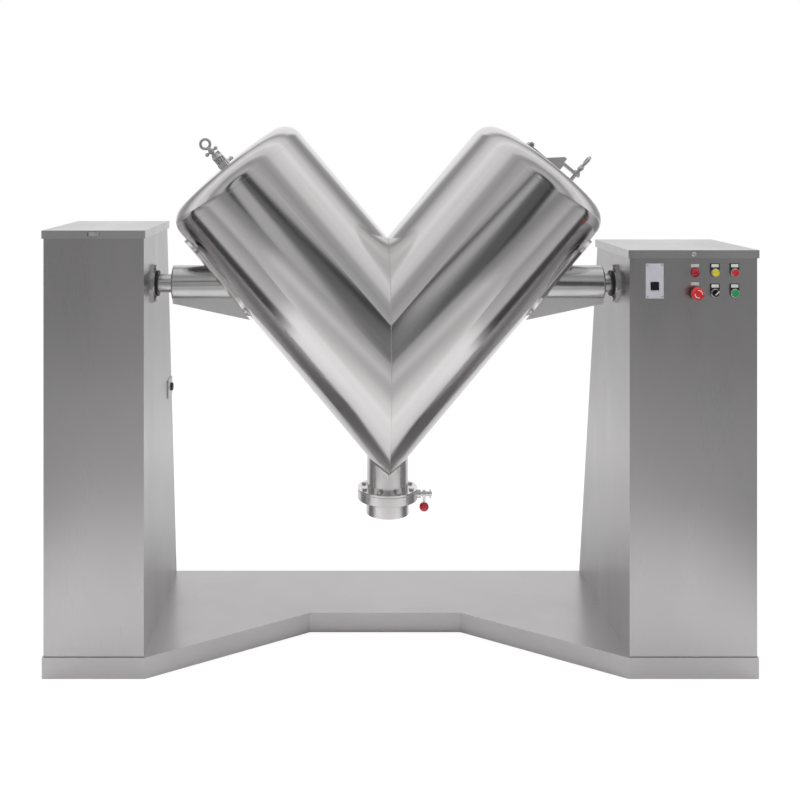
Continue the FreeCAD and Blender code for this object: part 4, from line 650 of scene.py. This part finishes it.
class MIXER_OT_controls(Operator):
    """Finishes the controls and adds blank inserts and plates, white marks and small screws"""
    bl_idname = "mixer.controls"
    bl_label = "Controls"

    def execute(self, context):
        values = finishes()
        lens = moulded("red_acrylic_lens", linear("#A30D22"), 0.18, fineness=300.0, coat=0.5, strength=0.05)
        dress(lens, "indicator_lamp")
        dress(moulded("yellow_abs", tuple(values.button_yellow), 0.28, coat=0.2), "yellow_button")
        dress(moulded("red_abs", tuple(values.button_red), 0.28, coat=0.2), "red_button", "estop_head")
        dress(moulded("green_abs", tuple(values.button_green), 0.28, coat=0.2), "green_button")
        black = moulded("black_abs", linear("#1B1B1D"), 0.36)
        dress(black, "selector_knob", "door_lock_knob", "estop_collar", "legend_holders")
        dress(moulded("grey_polyamide", linear("#8E9093"), 0.45), "contact_blocks")
        dress(turned_steel("bright_chromed_rings", linear("#E6E6E6"), 0.32, "y"), "control_bezels",
              "right_cap_screw", "left_cap_catch")
        dress(ground_sheet("satin_lock_plate", "z", linear("#D2D1D2"), 0.42), "door_lock_plate")
        dress(anodised("anodised_aluminium", linear("#D6D5DE"), 0.45), "instrument_plate")
        glass = moulded("smoked_acrylic", linear("#1A1B20"), 0.10, fineness=300.0, coat=0.6, strength=0.02)
        dress(glass, "timer_window")
        self.label_inserts()
        self.name_plates()
        self.control_marks()
        self.plate_screws()
        return {"FINISHED"}

    def label_inserts(self):
        """Blank white inserts in the upper part of the four legend holders."""
        laminate = moulded("white_engraving_laminate", linear("#E9E8E4"), 0.40, fineness=1200.0)
        work = bmesh.new()
        # Each insert is 22 mm by 9.7 mm and stands 0.4 mm out of its holder.
        outline = rectangle(-0.011, 0.011, 0.0165, 0.0262)
        for column, row in ((1, 0), (2, 0), (1, 1), (2, 1)):
            spot = facing_front(DEVICE_X[column], PANEL_Y - HOLDER_STANDS, DEVICE_Z[row])
            rounded_plate(work, outline, spot, thickness=0.0004, edge=0.0002)
        piece("label_inserts", from_bmesh("label_inserts", work), laminate, "frame")

    def name_plates(self):
        """Two blank lacquered plates, 24 mm by 9 mm, over the lamp and the emergency stop."""
        made = moulded("pale_lacquered_plates", linear("#DAD5D6"), 0.42, fineness=1200.0)
        work = bmesh.new()
        outline = rectangle(-0.012, 0.012, -0.0045, 0.0045)
        for row, rise in ((0, 0.0215), (1, 0.0275)):
            spot = facing_front(DEVICE_X[0], PANEL_Y, DEVICE_Z[row] + rise)
            rounded_plate(work, outline, spot, thickness=0.0006, edge=0.0002)
        piece("name_plates", from_bmesh("name_plates", work), made, "frame")

    def control_marks(self):
        """White moulded marks: a pointer line on the selector's handle and two arcs on the emergency
        stop's head."""
        white = moulded("white_inlay", linear("#F0EFEA"), 0.35)
        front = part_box("selector_knob")[0].y
        work = bmesh.new()
        # The selector's handle leans by 45 degrees at rest.
        spot = facing_front(DEVICE_X[1], front, DEVICE_Z[1]) @ Matrix.Rotation(math.radians(45), 4, "Z")
        line = rectangle(-0.006, 0.0105, -0.0016, 0.0016)
        rounded_plate(work, line, spot, thickness=0.0002, edge=0.0001)
        piece("selector_mark", from_bmesh("selector_mark", work), white, "selector")
        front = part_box("estop_head")[0].y
        work = bmesh.new()
        # The arcs start inside the domed head, 2.4 mm behind its front, and stand out of it by little.
        spot = facing_front(DEVICE_X[0], front + 0.0024, DEVICE_Z[1])
        outer = 0.0124
        inner = 0.0102
        for middle in (50, 230):
            angles = [math.radians(middle + step) for step in range(-55, 56, 10)]
            outline = [tuple(round_spot(outer, angle, 0.0).xy) for angle in angles]
            outline += [tuple(round_spot(inner, angle, 0.0).xy) for angle in reversed(angles)]
            rounded_plate(work, outline, spot, thickness=0.0012, edge=0.0002)
        piece("estop_marks", from_bmesh("estop_marks", work), white, "stop_push")

    def plate_screws(self):
        """Four round-headed screws with a sunk middle in the corners of the instrument plate."""
        low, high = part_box("instrument_plate")
        steel = turned_steel("small_steel_screws", linear("#BDBDBE"), 0.25, "y")
        inset = 0.005
        dome = [(0.0, 0.0), (0.0024, 0.0), (0.0024, 0.0004), (0.0020, 0.0009), (0.0012, 0.0012),
                (0.0006, 0.0012), (0.0006, 0.0006), (0.0, 0.0006)]
        work = bmesh.new()
        for x in (low.x + inset, high.x - inset):
            for z in (low.z + inset, high.z - inset):
                lathe(work, dome, 20, facing_front(x, low.y, z))
        screws = piece("plate_screws", from_bmesh("plate_screws", work), steel, "frame")
        smooth(screws, angle=35.0)


class MIXER_OT_stage(Operator):
    """Sets the pale floor, the soft studio light and the camera"""
    bl_idname = "mixer.stage"
    bl_label = "Stage"

    def execute(self, context):
        self.floor()
        self.world()
        for values in LAMPS:
            self.lamp(*values)
        self.camera()
        context.scene.view_settings.view_transform = "Standard"
        return {"FINISHED"}

    def floor(self):
        """A floor that the camera sees as white with a faint shadow. For metal its paint holds painted light
        and shade: light just in front of the machine, falling off towards the camera, painted shade under the
        machine and light again behind it."""
        work = bmesh.new()
        outline = rectangle(-FLOOR_REACH, FLOOR_REACH, -FLOOR_REACH, FLOOR_REACH)
        work.faces.new([work.verts.new((x, y, 0)) for x, y in outline])
        mesh = bpy.data.meshes.new("studio_floor")
        work.to_mesh(mesh)
        work.free()
        made = bpy.data.materials.new("studio_floor")
        made.use_nodes = True
        tree = made.node_tree
        tree.nodes.clear()
        place = add(tree, "ShaderNodeTexCoord").outputs["Object"]
        x, depth, _ = add(tree, "ShaderNodeSeparateXYZ", {}, {0: place}).outputs
        wide = add(tree, "ShaderNodeMath", {"operation": "ABSOLUTE"}, {0: x})
        level = self.grey_run(tree, depth, FLOOR_SPAN, FLOOR_PAINTED_LEVELS)
        # In front of the machine painted shade dims the floor to its sides, and a strip of painted shade lies
        # beside the columns.
        front = ((depth, -2.5, -1.9), (depth, 0.3, 0.0))
        side = zone(tree, *front, (wide, 1.35, 1.6))
        beside = zone(tree, *front, (depth, -0.85, -0.65), (wide, 1.30, 1.45))
        dim = blend(tree, side, -SIDE_PAINTED_SHADE, beside, -STRIP_PAINTED_SHADE)
        kept = add(tree, "ShaderNodeMath", {"operation": "ADD"}, {0: dim, 1: 1.0})
        # A painted pool of light makes the middle of the floor lighter near the camera.
        lane = zone(tree, (depth, -2.6, -3.8), (wide, 1.75, 1.35))
        level = blend(tree, level, kept, lane, LANE_PAINTED_LIGHT)
        seen = add(tree, "ShaderNodeLightPath").outputs["Is Camera Ray"]
        paint = add(tree, "ShaderNodeMix", {"data_type": "FLOAT"}, {0: seen, 2: level, 3: FLOOR_SEEN})
        paint = add(tree, "ShaderNodeCombineColor", {}, {0: paint, 1: paint, 2: paint})
        matt = add(tree, "ShaderNodeBsdfDiffuse", {}, {"Color": paint})
        strength = add(tree, "ShaderNodeMath", {"operation": "MULTIPLY"}, {0: seen, 1: FLOOR_GLOW})
        glow = add(tree, "ShaderNodeEmission", {}, {"Strength": strength})
        both = add(tree, "ShaderNodeAddShader", {}, {0: matt, 1: glow})
        add(tree, "ShaderNodeOutputMaterial", {}, {"Surface": both})
        thing = bpy.data.objects.new("studio_floor", mesh)
        bpy.context.scene.collection.objects.link(thing)
        thing.data.materials.append(made)

    def grey_run(self, tree, value, span, levels):
        """A smooth run of grey levels along a value's span, at places from 0 to 1 of it."""
        place = add(tree, "ShaderNodeMapRange", {}, {0: value, 1: span[0], 2: span[1]})
        made = add(tree, "ShaderNodeValToRGB", {}, {0: place})
        line = made.color_ramp
        line.interpolation = "EASE"
        for number, (spot, level) in enumerate(levels):
            stop = line.elements[number] if number < 2 else line.elements.new(spot)
            stop.position = spot
            stop.color = (level, level, level, 1.0)
        return made

    def world(self):
        """The studio: a white paper roll of limited width behind the mixer, light panels over it and a dim
        room on the camera's side. The camera itself sees plain white."""
        made = bpy.data.worlds.new("soft_studio")
        bpy.context.scene.world = made
        made.use_nodes = True
        tree = made.node_tree
        tree.nodes.clear()
        direction = add(tree, "ShaderNodeTexCoord").outputs["Generated"]
        x, y, _ = add(tree, "ShaderNodeSeparateXYZ", {}, {0: direction}).outputs
        room = self.grey_run(tree, y, (-1.0, 1.0), ROOM_LEVELS)
        # A pale strip of wall stands behind the camera, a little to its left.
        strip = zone(tree, (x, -0.24, -0.16), (x, 0.05, 0.0), (y, -0.94, -0.97))
        room = blend(tree, room, 1.0, strip, WALL_STRIP)
        wide = add(tree, "ShaderNodeMath", {"operation": "ABSOLUTE"}, {0: x})
        roll = zone(tree, (wide, 0.50, 0.36), (y, 0.45, 0.70))
        studio = add(tree, "ShaderNodeMix", {"data_type": "FLOAT"}, {0: roll, 2: room, 3: ROLL_LEVEL})
        path = add(tree, "ShaderNodeLightPath").outputs
        seen = add(tree, "ShaderNodeMath", {"operation": "MAXIMUM"},
                   {0: path["Is Camera Ray"], 1: path["Is Transmission Ray"]})
        level = add(tree, "ShaderNodeMix", {"data_type": "FLOAT"}, {0: seen, 2: studio, 3: 1.0})
        back = add(tree, "ShaderNodeBackground", {}, {"Color": (1.0, 1.0, 1.0, 1.0), "Strength": level})
        add(tree, "ShaderNodeOutputWorld", {}, {"Surface": back})

    def lamp(self, name, spot, aim, size, power):
        data = bpy.data.lights.new(name, "AREA")
        data.shape = "RECTANGLE"
        data.size, data.size_y = size
        data.energy = power
        thing = bpy.data.objects.new(name, data)
        thing.location = spot
        thing.rotation_euler = (Vector(aim) - Vector(spot)).to_track_quat("-Z", "Y").to_euler()
        # A lamp's sheet is too small and hard to mirror well, so metal shows only the studio's panels.
        thing.visible_glossy = False
        bpy.context.scene.collection.objects.link(thing)

    def camera(self):
        """A level camera a little left of the middle, at eye height, 3.3 m in front of the trunnions. The
        shift frames the whole machine as in the photograph, with its uprights parallel."""
        data = bpy.data.cameras.new("camera")
        data.sensor_width = CAMERA_SENSOR
        data.lens = CAMERA_LENS
        data.shift_x, data.shift_y = CAMERA_SHIFT
        thing = bpy.data.objects.new("camera", data)
        thing.location = CAMERA_SPOT
        thing.rotation_euler = (math.radians(90), 0.0, 0.0)
        bpy.context.scene.collection.objects.link(thing)
        bpy.context.scene.camera = thing


STEPS = (MIXER_OT_sheet_metal, MIXER_OT_vessel, MIXER_OT_covers, MIXER_OT_trunnions, MIXER_OT_outlet,
         MIXER_OT_drive, MIXER_OT_controls, MIXER_OT_stage)


class MIXER_PT_panel(Panel):
    """Lists the mixer's settings and steps"""
    bl_label = "Powder mixer"
    bl_idname = "MIXER_PT_panel"
    bl_space_type = "VIEW_3D"
    bl_region_type = "UI"
    bl_category = "Powder mixer"

    def draw(self, context):
        for group in (context.scene.mixer_finishes, context.scene.mixer_sizes):
            for name in group.bl_rna.properties.keys():
                if name not in {"rna_type", "name"}:
                    self.layout.prop(group, name)
        for step in STEPS:
            self.layout.operator(step.bl_idname)


CLASSES = (MixerFinishes, MixerSizes) + STEPS + (MIXER_PT_panel,)


def register():
    for item in CLASSES:
        bpy.utils.register_class(item)
    bpy.types.Scene.mixer_finishes = PointerProperty(type=MixerFinishes)
    bpy.types.Scene.mixer_sizes = PointerProperty(type=MixerSizes)


def unregister():
    del bpy.types.Scene.mixer_sizes
    del bpy.types.Scene.mixer_finishes
    for item in reversed(CLASSES):
        bpy.utils.unregister_class(item)


def main():
    register()
    for step in STEPS:
        call = getattr(bpy.ops.mixer, step.bl_idname.split(".")[1])
        call()


if __name__ == "__main__":
    main()
